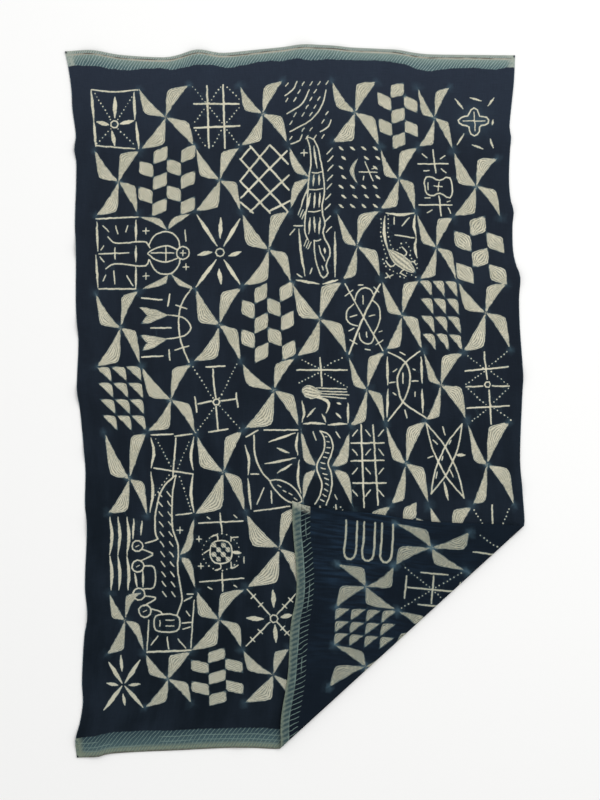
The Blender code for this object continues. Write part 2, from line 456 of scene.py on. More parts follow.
def is_inside(places, loop):
    """Whether each place is inside a closed loop.

    A line from a place inside to its right crosses the loop an odd number of times.
    """
    after = np.roll(loop, -1, axis=0)
    low_x, low_y = loop[:, 0], loop[:, 1]
    high_x, high_y = after[:, 0], after[:, 1]
    y = places[:, 1:2]
    spans = (low_y > y) != (high_y > y)
    rise = np.where(high_y == low_y, TINY, high_y - low_y)
    crossing = low_x + (y - low_y) / rise * (high_x - low_x)
    return (spans & (places[:, 0:1] < crossing)).sum(axis=1) % 2 == 1


def sides_of(path, closed):
    """Unit steps to the left of a path and along it, at each of its points."""
    if closed:
        run = np.roll(path, -1, axis=0) - np.roll(path, 1, axis=0)
    else:
        run = np.gradient(path, axis=0)
    run = run / np.maximum(np.linalg.norm(run, axis=1, keepdims=True), TINY)
    return np.stack([-run[:, 1], run[:, 0]], axis=1), run


class Stroke:
    """One stroke of paste along a path, with its half width at each point."""

    def __init__(self, path, halves, closed=False):
        self.path = path
        self.halves = halves
        self.closed = closed

    def outlines(self):
        """The path itself, and loops a stain's width outside the stroke's edge, round at its ends."""
        aside, run = sides_of(self.path, self.closed)
        reach = (self.halves + SOAK * STAIN)[:, None]
        left = self.path + aside * reach
        right = self.path - aside * reach
        if self.closed:
            return [(self.path, True), (left, True), (right, True)]
        turn = np.radians([40.0, 90.0, 140.0])[:, None]
        far_cap = self.path[-1] + reach[-1] * (np.cos(turn) * aside[-1] + np.sin(turn) * run[-1])
        near_cap = self.path[0] - reach[0] * (np.cos(turn) * aside[0] + np.sin(turn) * run[0])
        loop = np.concatenate([left, far_cap, right[::-1], near_cap])
        return [(self.path, False), (loop, True)]

    def bounds(self):
        return self.path.min(axis=0) - self.halves.max(), self.path.max(axis=0) + self.halves.max()

    def measure(self, places):
        path = self.path
        halves = self.halves
        if self.closed:
            path = np.concatenate([path, path[:1]])
            halves = np.concatenate([halves, halves[:1]])
        return gap_to_path(places, path, halves), None


class Patch:
    """A filled patch of paste between two edges that meet at its tips, scratched with fine lines."""

    def __init__(self, edge, other_edge, lines):
        self.edge = edge
        self.other_edge = other_edge
        self.lines = lines
        self.loop = np.concatenate([edge, other_edge[-2:0:-1]])

    def outlines(self):
        """A loop a stain's width outside the patch, and one just inside it."""
        aside, _ = sides_of(self.loop, True)
        middle = self.loop.mean(axis=0)
        grows = ((self.loop - middle) * aside).sum() > 0
        outer = self.loop + aside * SOAK * STAIN * (1 if grows else -1)
        width = np.linalg.norm(self.other_edge - self.edge, axis=1, keepdims=True)
        share = np.minimum(INNER_SHARE, INNER_SOAKS * SOAK / np.maximum(width, TINY))
        near = self.edge + (self.other_edge - self.edge) * share
        far = self.other_edge + (self.edge - self.other_edge) * share
        inner = np.concatenate([near[1:-1], far[-2:0:-1]])
        return [(outer, True), (inner, True)]

    def bounds(self):
        return self.loop.min(axis=0), self.loop.max(axis=0)

    def measure(self, places):
        """The gap to the patch, below 0 inside it, and the place across its scratched lines."""
        near = gap_to_path(places, self.edge)
        far = gap_to_path(places, self.other_edge)
        inside = is_inside(places, self.loop)
        gap = np.minimum(near, far) * np.where(inside, -1.0, 1.0)
        share = near / np.maximum(near + far, TINY)
        share = np.where(inside, share, np.where(near < far, 0.0, 1.0))
        return gap, share * self.lines


class Dots:
    """Round dots of paste."""

    def __init__(self, centres, radii):
        self.centres = centres
        self.radii = radii

    def outlines(self):
        """A hexagon a stain's width outside each dot, and a line through the dots' centres."""
        ring = circle_points(np.arange(0.0, 360.0, 60.0))
        reach = self.radii + SOAK * STAIN
        loops = [(centre + ring * far, True) for centre, far in zip(self.centres, reach)]
        return loops + [(self.centres, False)]

    def bounds(self):
        return self.centres.min(axis=0) - self.radii.max(), self.centres.max(axis=0) + self.radii.max()

    def measure(self, places):
        offset = places[:, None, :] - self.centres[None]
        return (np.linalg.norm(offset, axis=2) - self.radii).min(axis=1), None


def on_floor(squares):
    """Places on the floor from squares of the chart."""
    squares = np.asarray(squares, dtype=float)
    return CHART_ZERO + squares * (CHART_SQUARE, -CHART_SQUARE)


class Chart:
    """All the marks of paste, and the places where the dye only half took."""

    def __init__(self, seed):
        self.hand = np.random.default_rng(seed)
        self.marks = []
        self.hazes = []

    def tile(self, row, column):
        return Tile(self, row, column)


class Tile:
    """One square of the board. Its marks are counted in chart squares from its upper left corner."""

    def __init__(self, chart, row, column):
        self.chart = chart
        self.row = row
        self.column = column
        places = ((row, column), (row, column + 1), (row + 1, column + 1), (row + 1, column))
        corners = [(BOARD_ACROSS[line][place], BOARD_DOWN[line][place]) for line, place in places]
        corners = np.array(corners, dtype=float)
        self.home = corners[0]
        self.corners = corners - self.home

    def share_place(self, across, down):
        """A place by its shares across and down the tile: the weighted mean of its four corners."""
        upper = self.corners[0] * (1 - across) + self.corners[1] * across
        lower = self.corners[3] * (1 - across) + self.corners[2] * across
        return upper * (1 - down) + lower * down

    def stroke(self, points, width=2.2, form="plain", closed=False):
        """A stroke through a few points. A leaf is pointed at both ends."""
        hand = self.chart.hand
        path = smooth_path(points, PATH_STEP, closed)
        if form != "plain" and len(path) <= LEAF_STRETCHES:
            path = smooth_path(points, np.linalg.norm(np.subtract(points[-1], points[0])) / LEAF_STRETCHES)
        part = np.linspace(0.0, 1.0, len(path))
        halves = np.full(len(path), 0.5 * width)
        if form == "leaf":
            halves *= LEAF_SWELL * np.sin(math.pi * np.clip(part, LEAF_TIP, 1.0 - LEAF_TIP)) ** LEAF_POWER
        elif not closed:
            halves *= END_WIDTH + MIDDLE_SWELL * np.sin(math.pi * part) ** 0.5
        halves *= 1.0 + WIDTH_SHAKE * hand.standard_normal(len(path))
        if len(path) > 2:
            path = path + PATH_SHAKE * hand.standard_normal(path.shape)
        halves = np.maximum(halves * BRUSH, LEAST_HALF_WIDTH) * CHART_SQUARE
        self.chart.marks.append(Stroke(on_floor(self.home + path), halves, closed))

    def strokes(self, width, *paths, form="plain"):
        for points in paths:
            self.stroke(points, width, form)

    def leaves(self, width, *paths):
        self.strokes(width, *paths, form="leaf")

    def ring(self, centre, radius, width=1.7):
        count = max(10, int(radius * 2.4))
        points = circle_points(np.arange(0.0, 360.0, 360.0 / count)) * radius + centre
        self.stroke(points, width, closed=True)

    def cross(self, centre, size, width=1.5):
        x, y = centre
        self.strokes(width, ((x - size, y), (x + size, y)), ((x, y - size), (x, y + size)))

    def dots(self, points, step=3.9, radius=0.60):
        """A dotted line through a few points, its dots an even step apart."""
        hand = self.chart.hand
        points = np.array(points, dtype=float)
        along = lengths_along(points)
        count = max(int(round(along[-1] / step)), 1) + 1
        centres = places_along(points, along, np.linspace(0.0, along[-1], count))
        centres = centres + DOT_SHAKE * hand.standard_normal(centres.shape)
        radii = radius * (1.0 + RADIUS_SHAKE * hand.standard_normal(count)) * CHART_SQUARE
        self.chart.marks.append(Dots(on_floor(self.home + centres), radii))

    def dotted(self, *lines, step=3.9):
        for points in lines:
            self.dots(points, step)

    def patch(self, tip, other_tip, corner, weight, inner=None, inner_weight=1.0, lines=8, count=8):
        """A patch whose outer edge leans on a corner, and whose inner edge leans on another point."""
        hand = self.chart.hand
        tip, other_tip, corner = (np.array(point, dtype=float) for point in (tip, other_tip, corner))
        if inner is None:
            middle = 0.5 * (tip + other_tip)
            inner = middle + (corner - middle) * (HOLLOW + HOLLOW_SHAKE * hand.standard_normal())
        outer_edge = conic(tip, corner, other_tip, weight, count)
        inner_edge = conic(tip, np.array(inner, dtype=float), other_tip, inner_weight, count)
        shake = PATCH_SHAKE * hand.standard_normal((2, count, 2))
        shake[:, (0, -1)] = 0.0
        outer_edge = on_floor(self.home + outer_edge + shake[0])
        inner_edge = on_floor(self.home + inner_edge + shake[1])
        self.chart.marks.append(Patch(inner_edge, outer_edge, lines))

    def haze(self, place, spread):
        self.chart.hazes.append((*on_floor(self.home + place), spread * CHART_SQUARE))


# Hubs of pinwheels that the dyer set off the middle of their tiles, in squares
HubShift = namedtuple("HubShift", "row column across down")
HUB_SHIFTS = (
    HubShift(1, 0, 2, -1),
    HubShift(1, 2, 2, 1),
    HubShift(2, 3, 3, 1),
    HubShift(2, 5, -3, 1),
    HubShift(3, 0, 3, -1),
    HubShift(3, 2, 2, 0),
    HubShift(3, 8, 1, -4),
    HubShift(4, 1, 2, 1),
    HubShift(4, 3, 4, -4),
    HubShift(4, 7, -4, -1),
    HubShift(5, 0, 3, 5),
    HubShift(5, 2, 4, -1),
    HubShift(5, 6, -2, 0),
    HubShift(5, 8, -4, 1),
    HubShift(6, 3, 6, 0),
    HubShift(7, 0, 0, -3),
    HubShift(8, 3, 6, -1),
    HubShift(8, 5, 4, -4),
)
# Tiles where a long creature takes the pinwheel's place
CREATURE_TILES = ((1, 4), (2, 1), (5, 4), (6, 1))
# How hard the edges of blades and lozenges lean on their corners, their scratched
# lines and points, and how far a lozenge's ends lean, as a share of the tile
BLADE_CORNER = 6.5
BLADE_LINES = 6
BLADE_POINTS = 14
CHECKER_CORNER = 6.5
CHECKER_LINES = 6
CHECKER_POINTS = 12
CHECKER_LEAN = 0.036


def pinwheel(tile):
    """Four blades from a hub to the tile's corners. Each leans on the middle of one side."""
    hub = tile.share_place(0.5, 0.5)
    for shift in HUB_SHIFTS:
        if (shift.row, shift.column) == (tile.row, tile.column):
            hub = hub + (shift.across, shift.down)
    left = tile.share_place(0.03, 0.5)
    top = tile.share_place(0.5, 0.03)
    right = tile.share_place(0.97, 0.5)
    bottom = tile.share_place(0.5, 0.97)
    slope = tile.chart.hand.normal(0.0, 1.0, 4)
    corners = (
        (left[0] + 3.0, hub[1] - 2.6 + slope[0]),
        (hub[0] + 0.8, top[1] + 1.6 + 0.5 * slope[1]),
        (right[0] - 1.8, hub[1] + 3.4 + slope[2]),
        (hub[0] - 0.8, bottom[1] - 2.0 + 0.5 * slope[3]),
    )
    for tip, corner in zip(tile.corners, corners):
        pulled = tip + (hub - tip) * 0.03
        tile.patch(pulled, hub, corner, BLADE_CORNER, lines=BLADE_LINES, count=BLADE_POINTS)
        tile.haze(pulled, 2.2)
    tile.haze(hub, 3.0)


def checker(tile, columns, rows):
    """Slanted lozenges on every other cell.

    Their tips rise to the right on even rows and fall on odd ones.
    """
    for row in range(rows):
        for column in range(columns):
            if (row + column) % 2 == 0:
                continue
            left, right = column / columns, (column + 1) / columns
            high, low = row / rows, (row + 1) / rows
            lean = CHECKER_LEAN if row % 2 else -CHECKER_LEAN
            upper_left = tile.share_place(left, high - lean)
            upper_right = tile.share_place(right, high + lean)
            lower_left = tile.share_place(left, low - lean)
            lower_right = tile.share_place(right, low + lean)
            if row % 2:
                tips, sides = (upper_left, lower_right), (upper_right, lower_left)
            else:
                tips, sides = (lower_left, upper_right), (upper_left, lower_right)
            tile.patch(
                *tips, sides[0], CHECKER_CORNER, sides[1], CHECKER_CORNER, CHECKER_LINES, CHECKER_POINTS)


def triangles(tile, columns, rows, turned):
    """Rows of curved triangles.

    The square corner is the upper right one, or the lower right one when turned.
    """
    for row in range(rows):
        for column in range(columns):
            left = column / columns
            right = (column + 0.95) / columns
            high = (row + 0.02) / rows
            low = (row + 0.96) / rows
            if turned:
                tips, corner = ((right, high), (left, low)), (right, low)
            else:
                tips, corner = ((left, high), (right, low)), (right, high)
            tips = [tile.share_place(*place) for place in tips]
            corner = tile.share_place(*corner)
            middle = 0.5 * (tips[0] + tips[1])
            tile.patch(*tips, corner, 5.0, middle + 0.06 * (corner - middle), lines=4, count=8)


def boxed_ring(tile):
    tile.stroke(((1, 1), (24, 3), (47, 1)), 2.0)
    tile.leaves(3.2, ((0, 1), (3, 32)), ((3, 32), (5, 58)), ((43, 3), (44, 31)), ((45, 33), (48, 60)))
    tile.stroke(((5, 57), (44, 60)), 2.0)
    tile.ring((23.5, 35.5), 3.8)
    tile.leaves(4.6, ((24, 8), (24, 29)), ((6, 33), (18, 36)), ((29, 35), (43, 32)), ((21, 42), (24, 57)))
    tile.dotted(((20, 31), (4, 5)), ((27, 31), (43, 5)), ((20, 40), (6, 55)), ((27, 40), (42, 55)))


def crossed_bars(tile):
    tile.strokes(2.6, ((17, 2), (19, 64)), ((33, 1), (35, 64)), ((4, 20), (49, 20)), ((4, 44), (50, 42)))
    tile.dotted(
        ((3, 3), (15, 18), (32, 39)), ((31, 3), (5, 38)), ((6, 47), (15, 62)), ((23, 62), (31, 47)),
        ((37, 3), (49, 15)), ((49, 24), (37, 38)), ((37, 46), (49, 61)),
    )


def rain(tile):
    arcs = (
        ((2, 16), (10, 10), (14, 2)),
        ((4, 34), (19, 24), (26, 10)),
        ((7, 52), (29, 39), (39, 25), (43, 10)),
        ((37, 52), (45, 47), (48, 40)),
        ((8, 64), (17, 60), (19, 55)),
    )
    tile.strokes(1.8, *arcs)
    taken = np.concatenate([smooth_path(arc, 2.0) for arc in arcs])
    for row in range(8):
        for column in range(6):
            place = np.array((4.0 + 8.0 * column + 4.0 * (row % 2), 5.0 + 7.6 * row - 0.4 * column))
            if np.linalg.norm(taken - place, axis=1).min() < 4.2 or place[0] > 47:
                continue
            tile.stroke((place + (-1.2, 1.7), place + (1.2, -1.7)), 1.5)


def four_lobes(tile):
    outline = (
        (24, 21), (28, 24), (29, 29), (36, 30), (39, 34), (36, 38), (30, 39), (29, 45),
        (25, 49), (20, 46), (19, 40), (12, 38), (8, 34), (12, 30), (18, 29), (20, 24),
    )
    tile.stroke(outline, 1.8, closed=True)
    tile.strokes(1.5, ((24, 25), (25, 44)), ((13, 34), (35, 34)))
    rays = (
        ((5, 12), (13, 22)), ((20, 11), (31, 14)), ((44, 11), (38, 19)), ((43, 33), (42, 38)),
        ((40, 52), (43, 61)), ((22, 58), (33, 62)), ((7, 58), (14, 47)),
    )
    tile.leaves(2.2, *rays)
    tile.haze((24, 34), 9.0)


def lattice(tile):
    falling = (
        ((10, -1), (49, 43)), ((30, -2), (48, 17)), ((0, 12), (48, 65)), ((0, 34), (30, 66)),
        ((0, 55), (13, 66)),
    )
    rising = (
        ((1, 12), (10, 1)), ((1, 33), (29, -1)), ((1, 51), (47, 4)), ((10, 65), (49, 28)),
        ((30, 64), (50, 54)),
    )
    tile.strokes(2.7, *falling, *rising)


def crocodile(tile):
    """The long crocodile beside its two half pinwheels. It runs down over the next tile."""
    tile.patch((1, 2), (21, 33), (4, 29), 3.0, lines=7, count=9)
    tile.patch((2, 66), (21, 35), (4, 37), 3.0, lines=7, count=9)
    tile.haze((21, 34), 5.0)
    left_side = ((19, -7), (22, 4), (23, 18), (21, 33), (20, 46), (19, 62), (17, 76), (17, 88), (20, 96))
    tile.stroke(left_side, 1.9)
    right_side = (
        (19, -7), (26, -4), (31, 8), (34, 24), (36, 38), (36, 52), (34, 62), (35, 71), (37, 80),
        (35, 88), (37, 95), (41, 103), (42, 111), (38, 121), (40, 129), (36, 134), (32, 130),
        (27, 112), (26, 97),
    )
    tile.stroke(right_side, 1.9)
    for left, right, down in ((24, 35, 28), (21, 35, 45), (20, 33, 67), (26, 33, 96)):
        tile.stroke(((left, down + 0.5), (0.5 * (left + right), down + 1), (right, down - 0.5)), 1.6)
    ribs = (
        ((26, 2), (27, 12), (29, 24)), ((26, 31), (25, 42)), ((31, 31), (31, 41)), ((22, 50), (20, 63)),
        ((27, 49), (26, 64)), ((32, 49), (31, 63)), ((22, 74), (21, 90)), ((26, 73), (27, 88)),
        ((32, 74), (31, 90)),
    )
    tile.leaves(2.3, *ribs)
    tile.stroke(((20, 44), (16, 53), (13, 63)), 1.7)
    for across, down in ((13, 64), (15, 66), (17, 68), (19, 95), (21, 97), (23, 98)):
        tile.stroke(((across, down), (across - 3, down + 7)), 1.3)
    tile.leaves(2.6, ((36.5, 104), (37, 109)))
    tile.strokes(1.5, ((31, 102), (33, 109), (37, 117)), ((34, 122), (35, 126)))
    tile.cross((16, 9), 3.3)
    tile.strokes(
        1.8, ((6, 82), (15, 82)), ((7, 85), (2, 91)), ((24, 124), (22, 130)), ((9, 130), (14, 133)),
    )
    tile.leaves(2.8, ((11, 85), (13, 108), (17, 132)), ((47, 88), (47, 133)))
    tile.leaves(3.0, ((8, 136), (19, 138), (31, 140)), ((35, 140), (50, 136)))
    for down in (7, 15, 24, 34, 42.5, 53, 63, 75, 85.5):
        across = 41 + 1.5 * math.sin(down / 14.0)
        tile.stroke(((across - 2.6, down + 2.9), (across + 2.6, down - 2.9)), 1.6)


def crescent(tile):
    """A thin moon and a star of strokes, among slanted dashes."""
    tile.patch((27, 14.5), (26.5, 41.5), (11, 28), 1.2, (17.5, 28), 1.2, lines=2, count=9)
    tile.strokes(
        1.5, ((33, 19), (41, 38)), ((27, 29), (45, 29.5)), ((43, 25), (40, 26)), ((32, 33), (31, 37)),
    )
    taken = np.array(
        ((27, 14), (21, 19), (19, 26), (20, 34), (26, 41), (30, 28), (35, 28), (40, 29), (34, 22), (39, 34))
    )
    for row in range(7):
        for column in range(4):
            place = np.array((9.0 + 11.4 * column + 2.6 * (row % 2), 5.5 + 9.6 * row))
            if np.linalg.norm(taken - place, axis=1).min() < 5.0:
                continue
            tile.leaves(2.4, (place - (2.1, 1.6), place + (2.1, 1.6)))


def bow(tile):
    """A waisted shape between two crosses, with short dashes."""
    tile.strokes(
        1.9, ((15, 3), (16, 14), (18, 26)), ((0, 17), (30, 17)), ((21, 49), (23, 69)),
        ((1, 58), (34, 58)),
    )
    dashes = (
        ((4, 7), (9, 11)), ((27, 9), (22, 12)), ((6, 24), (11, 24)), ((23, 22), (28, 26)),
        ((7, 51), (12, 51)), ((32, 54), (29, 55)), ((14, 63), (9, 66)), ((30, 61), (33, 66)),
        ((10, 36), (10, 43)),
    )
    tile.strokes(1.6, *dashes)
    outline = (
        (8, 30), (13, 30), (19, 33), (24, 33), (29, 30), (33, 33), (34, 40), (34, 47), (32, 51), (28, 50),
        (21, 46), (15, 49), (9, 47), (7, 41), (6, 35),
    )
    tile.stroke(outline, 1.8, closed=True)
    tile.strokes(1.5, ((21, 35), (20, 44)), ((16, 39), (24, 40)))


def figure(tile):
    """The board square with a figure. Its round body and the half pinwheels round it fill the next tile."""
    tile.strokes(2.2, ((1, 2), (43, 0)), ((4, 72), (41, 72)))
    tile.leaves(
        2.6, ((2, 5), (3, 34)), ((1, 38), (3, 71)), ((41, 3), (41, 24)), ((41, 29), (41, 45)),
        ((41, 50), (41, 71)),
    )
    tile.strokes(2.0, ((13, 20), (20, 26), (51, 25), (55, 31)), ((11, 52), (19, 47), (51, 49), (54, 43)))
    tile.strokes(1.8, ((4, 37), (34, 36)), ((20, 31), (20, 42)))
    dashes = (
        ((8, 9), (14, 15)), ((21, 9), (23, 17)), ((33, 9), (31, 15)), ((9, 29), (6, 33)),
        ((5, 40), (9, 45)), ((11, 58), (8, 64)), ((19, 54), (20, 67)), ((32, 59), (38, 69)),
        ((90, 13), (91, 24)),
    )
    tile.strokes(1.7, *dashes)
    body = (
        ((54, 28), (59, 19), (67, 15), (77, 16), (83, 22), (85, 31)),
        ((55, 43), (59, 52), (67, 57), (77, 56), (84, 48), (85, 42)),
        ((53, 36), (62, 31), (73, 29), (83, 33)),
        ((53, 37), (61, 43), (72, 45), (83, 41)),
    )
    tile.strokes(1.9, *body)
    tile.strokes(1.7, ((56, 36), (79, 36)), ((71, 30), (71, 44)))
    tile.ring((88, 36), 6.5)
    tile.cross((88, 36), 2.8)
    for place in ((51, 14), (51, 59), (91, 50)):
        tile.cross(place, 3.0)
    tile.patch((44, 0), (72, 13), (66, 0), 2.6, lines=6)
    tile.patch((97, -4), (73, 13), (75, 1), 2.6, lines=6)
    tile.patch((45, 73), (73, 58), (73, 68), 2.6, lines=6)
    tile.patch((100, 72), (76, 57), (83, 70), 2.6, lines=6)


def flower(tile):
    tile.ring((25, 40.5), 4.1)
    tile.leaves(4.2, ((22, 34), (2, 3)), ((29, 34), (45, 7)), ((29, 48), (45, 72)), ((21, 48), (1, 75)))
    tile.leaves(4.6, ((26, 6), (25, 26)), ((3, 43), (17, 40)), ((24, 57), (26, 72)), ((34, 44), (46, 40)))


def lizard(tile):
    """A lizard hanging from a box, with dots along its tail and round its body."""
    tile.leaves(3.2, ((6, 3), (21, 5), (34, 3)))
    tile.leaves(3.0, ((35, 5), (34, 16), (36, 26)), ((36, 27), (35, 38), (37, 48)))
    tile.strokes(1.8, ((14, 7), (14, 14)), ((29, 8), (22, 16)), ((15, 25), (34, 28)))
    tile.leaves(3.2, ((5, 6), (4, 15), (5, 29), (8, 41)))
    tile.patch((7.5, 39), (36, 63), (30, 43), 1.0, (12, 60), 1.0, lines=3, count=10)
    legs = (
        ((22, 37), (27, 43), (23, 47)), ((29, 54), (33, 51), (36, 55)), ((6, 51), (11, 57), (16, 53)),
        ((25, 59), (20, 63), (26, 66)), ((6, 63), (10, 68)), ((13, 65), (5, 68)),
    )
    tile.strokes(1.7, *legs)
    tile.dotted(
        ((1, 9), (1, 28), (4, 40), (7, 48)),
        ((8, 5), (8, 24), (10, 34), (13, 39), (19, 40), (21, 34), (26, 33)),
        ((3, 49), (5, 56), (10, 60), (16, 62), (20, 67), (24, 68)),
        ((29, 37), (30, 41), (30, 48), (37, 52), (37, 58)),
        ((27, 63), (32, 65), (36, 67)),
        step=4.4,
    )


def forked_flags(tile):
    tile.strokes(
        2.2, ((3, 8), (23, 10)), ((31, 4), (29, 16)), ((12, 38), (32, 38)), ((3, 67), (24, 66)),
        ((30, 60), (31, 70)),
    )
    for high, low, point in (((0, 17), (2, 34), (29, 25)), ((1, 45), (3, 61), (28, 49))):
        notch = (8, 0.5 * (high[1] + low[1]))
        tile.patch(high, point, (14, high[1] + 1), 1.2, notch, 9.0, lines=4, count=9)
        tile.patch(low, point, (14, low[1] - 1), 1.2, notch, 9.0, lines=4, count=9)
    tile.stroke(((29, 25), (45, 28), (52, 38), (45, 46), (28, 49)), 1.9)
    tile.stroke(((52, -1), (43, 13), (40, 27), (40, 40), (43, 55), (50, 72)), 2.1)
    tile.strokes(1.8, ((37, 15), (48, 19)), ((36, 60), (50, 56)))


def crossed_loops(tile):
    """Two crossed lines with an arc bulging from each gap between them, and ticks near their ends."""
    tile.strokes(1.8, ((2, 3), (21, 37), (40, 70)))
    tile.strokes(2.6, ((37, 3), (20, 37), (6, 73)))
    arcs = (
        ((12, 19), (14, 12), (18, 8), (23, 7), (28, 9), (30, 13)),
        ((11, 23), (5, 28), (3, 35), (5, 41), (10, 44), (15, 45)),
        ((29, 19), (34, 23), (37, 31), (36, 42), (30, 54)),
        ((16, 52), (17, 58), (21, 62), (25, 63), (29, 61), (31, 56)),
    )
    tile.strokes(1.8, *arcs)
    tile.strokes(1.4, ((2, 15), (10, 9)), ((31, 6), (36, 11)), ((7, 59), (14, 63)), ((33, 64), (40, 59)))
    dashes = (
        ((15, 4), (20, 4)), ((20, 15), (20, 23)), ((7, 36), (14, 34)), ((26, 35), (32, 34)),
        ((23, 51), (24, 56)), ((6, 50), (11, 47)), ((36, 51), (39, 50)), ((22, 68), (27, 69)),
    )
    tile.strokes(1.6, *dashes)


def ringed_cross(tile):
    """A small ring on a cross with barred ends, and dotted lines to the corners."""
    tile.ring((24.5, 39), 3.4, 1.9)
    tile.strokes(
        2.3, ((21, 6), (22, 22), (24, 35)), ((24, 43), (26, 67)), ((6, 41), (20, 38)),
        ((29, 38), (44, 36)),
    )
    tile.strokes(2.3, ((14, 4), (33, 3)), ((17, 69), (36, 66)), ((3, 34), (5, 49)), ((44, 30), (46, 44)))
    tile.dotted(((21, 35), (1, 4)), ((28, 35), (45, 1)), ((22, 45), (4, 70)), ((28, 43), (47, 65)))


def open_hand(tile):
    """A dotted cross above an open hand, and an open box below it."""
    tile.strokes(2.3, ((24, 1), (26, 29)), ((1, 13), (51, 13)))
    tile.dotted(((6, 3), (22, 11)), ((3, 26), (22, 16)), ((28, 10), (46, 1)), ((29, 17), (51, 30)))
    tile.patch((5, 34), (26, 36), (11, 23), 1.3, (14, 47), 1.3, lines=4, count=9)
    fingers = (((20, 31), (50, 32)), ((22, 34), (51, 35)), ((22, 36.5), (53, 38)), ((20, 38.5), (50, 41.5)))
    tile.strokes(1.6, *fingers)
    tile.leaves(3.4, ((18, 40), (28, 42), (33, 47), (30, 56)))
    tile.leaves(2.8, ((6, 44), (8, 55), (6, 65)), ((52, 46), (52, 57), (52, 66)))
    tile.leaves(2.8, ((7, 67), (17, 66), (29, 67)), ((32, 68), (42, 67), (51, 67)))
    tile.leaves(
        2.3, ((19, 51), (11, 60)), ((26, 57), (30, 65)), ((40, 56), (45, 61)), ((41, 46), (45, 47)),
    )


def crossed_arcs(tile):
    tile.strokes(2.2, ((3, 1), (20, 11), (25, 27), (20, 47), (3, 70)))
    tile.strokes(2.2, ((35, 0), (21, 11), (13, 24), (13, 37), (18, 51), (41, 67)))
    tile.leaves(2.8, ((2, 6), (3, 34)), ((3, 38), (2, 66)), ((36, 6), (37, 32)), ((37, 38), (38, 62)))
    dashes = (
        ((15, 1), (20, 4)), ((8, 21), (12, 18)), ((18, 22), (18, 32)), ((4, 32), (10, 31)),
        ((27, 30), (33, 30)), ((8, 42), (11, 44)), ((30, 41), (30, 45)), ((20, 59), (22, 67)),
        ((28, 18), (30, 19)),
    )
    tile.strokes(1.8, *dashes)


def dotted_diamonds(tile):
    tile.ring((24.5, 32.5), 3.0)
    tile.strokes(2.2, ((21, 0), (24, 27)), ((26, 38), (28, 72)), ((2, 19), (45, 15)), ((4, 56), (46, 54)))
    tile.strokes(2.2, ((3, 35), (20, 34)), ((29, 34), (46, 34)))
    tile.dotted(
        ((5, 4), (20, 16)), ((21, 20), (3, 32)), ((5, 37), (23, 53)), ((23, 58), (9, 69)),
        ((44, 0), (26, 14)), ((28, 20), (44, 32)), ((45, 36), (28, 53)), ((31, 56), (48, 68)),
    )


def long_animal(tile):
    """The standing animal that fills three tiles, in its border of strokes."""
    tile.strokes(2.2, ((4, 3), (26, 2)), ((28, 4), (45, 2)), ((29, 6), (26, 44)), ((7, 36), (46, 42)))
    borders = (
        ((4, 6), (7, 20), (4, 36)), ((4, 40), (6, 60), (3, 80)), ((47, 5), (44, 23), (46, 38)),
        ((46, 42), (44, 62), (47, 80)),
    )
    tile.leaves(3.2, *borders)
    tile.dotted(((9, 7), (24, 34)), ((42, 10), (31, 36)), ((22, 43), (6, 66)), ((33, 45), (44, 78)))
    tile.stroke(((29, 43), (18, 53), (12, 65), (8, 88), (9, 103), (11, 107), (-2, 111)), 2.2)
    right_side = (
        (29, 44), (26, 58), (25, 83), (26, 98), (31, 113), (31, 138), (34, 158), (35, 168), (30, 183),
    )
    tile.stroke(right_side, 2.2)
    for centre, radius in (((-9.5, 114), 5.5), ((-9, 134), 6.0), ((-8, 162), 6.0), ((-2, 179), 6.2)):
        tile.ring(centre, radius, 1.9)
        tile.stroke(np.add(centre, ((-1.6, 0.8), (1.6, -0.8))), 1.3)
    legs = (
        ((-5, 117), (6, 122), (-5, 128)), ((-3, 134), (7, 135), (7, 155), (-4, 157)),
        ((-2, 164), (9, 166), (-3, 174)), ((4, 177), (13, 179), (16, 183)),
    )
    tile.strokes(1.9, *legs)
    head = ((9, 184), (20, 182), (31, 184), (33, 191), (31, 198), (20, 200), (9, 198), (7, 191))
    tile.stroke(head, 2.0, closed=True)
    tile.strokes(1.6, ((13, 188), (13, 194)), ((19, 188), (27, 188)), ((19, 194), (27, 194)))
    for step in range(11):
        for across in (13, 22):
            place = np.array((across + 0.45 * step, 62.0 + 10.0 * step))
            tile.stroke((place - (1.8, 2.4), place + (1.8, 2.4)), 1.7)
    tile.cross((33, 98), 3.0)
    dashes = (
        ((29, 83), (45, 81)), ((40, 162), (46, 162)), ((37, 169), (45, 165)), ((39, 179), (43, 184)),
        ((35, 191), (45, 190)), ((36, 197), (43, 195)), ((11, 204), (4, 213)), ((20, 205), (22, 217)),
        ((31, 207), (39, 216)), ((2, 188), (0, 218)), ((47, 168), (44, 216)),
    )
    tile.strokes(1.8, *dashes)
    tile.stroke(((0, 220), (44, 218)), 2.8)
    tile.patch((47, 85), (33, 123), (46, 118), 3.0, lines=6, count=9)
    tile.patch((49, 158), (33, 125), (45, 126), 3.0, lines=6, count=9)
    tile.haze((34, 124), 5.0)


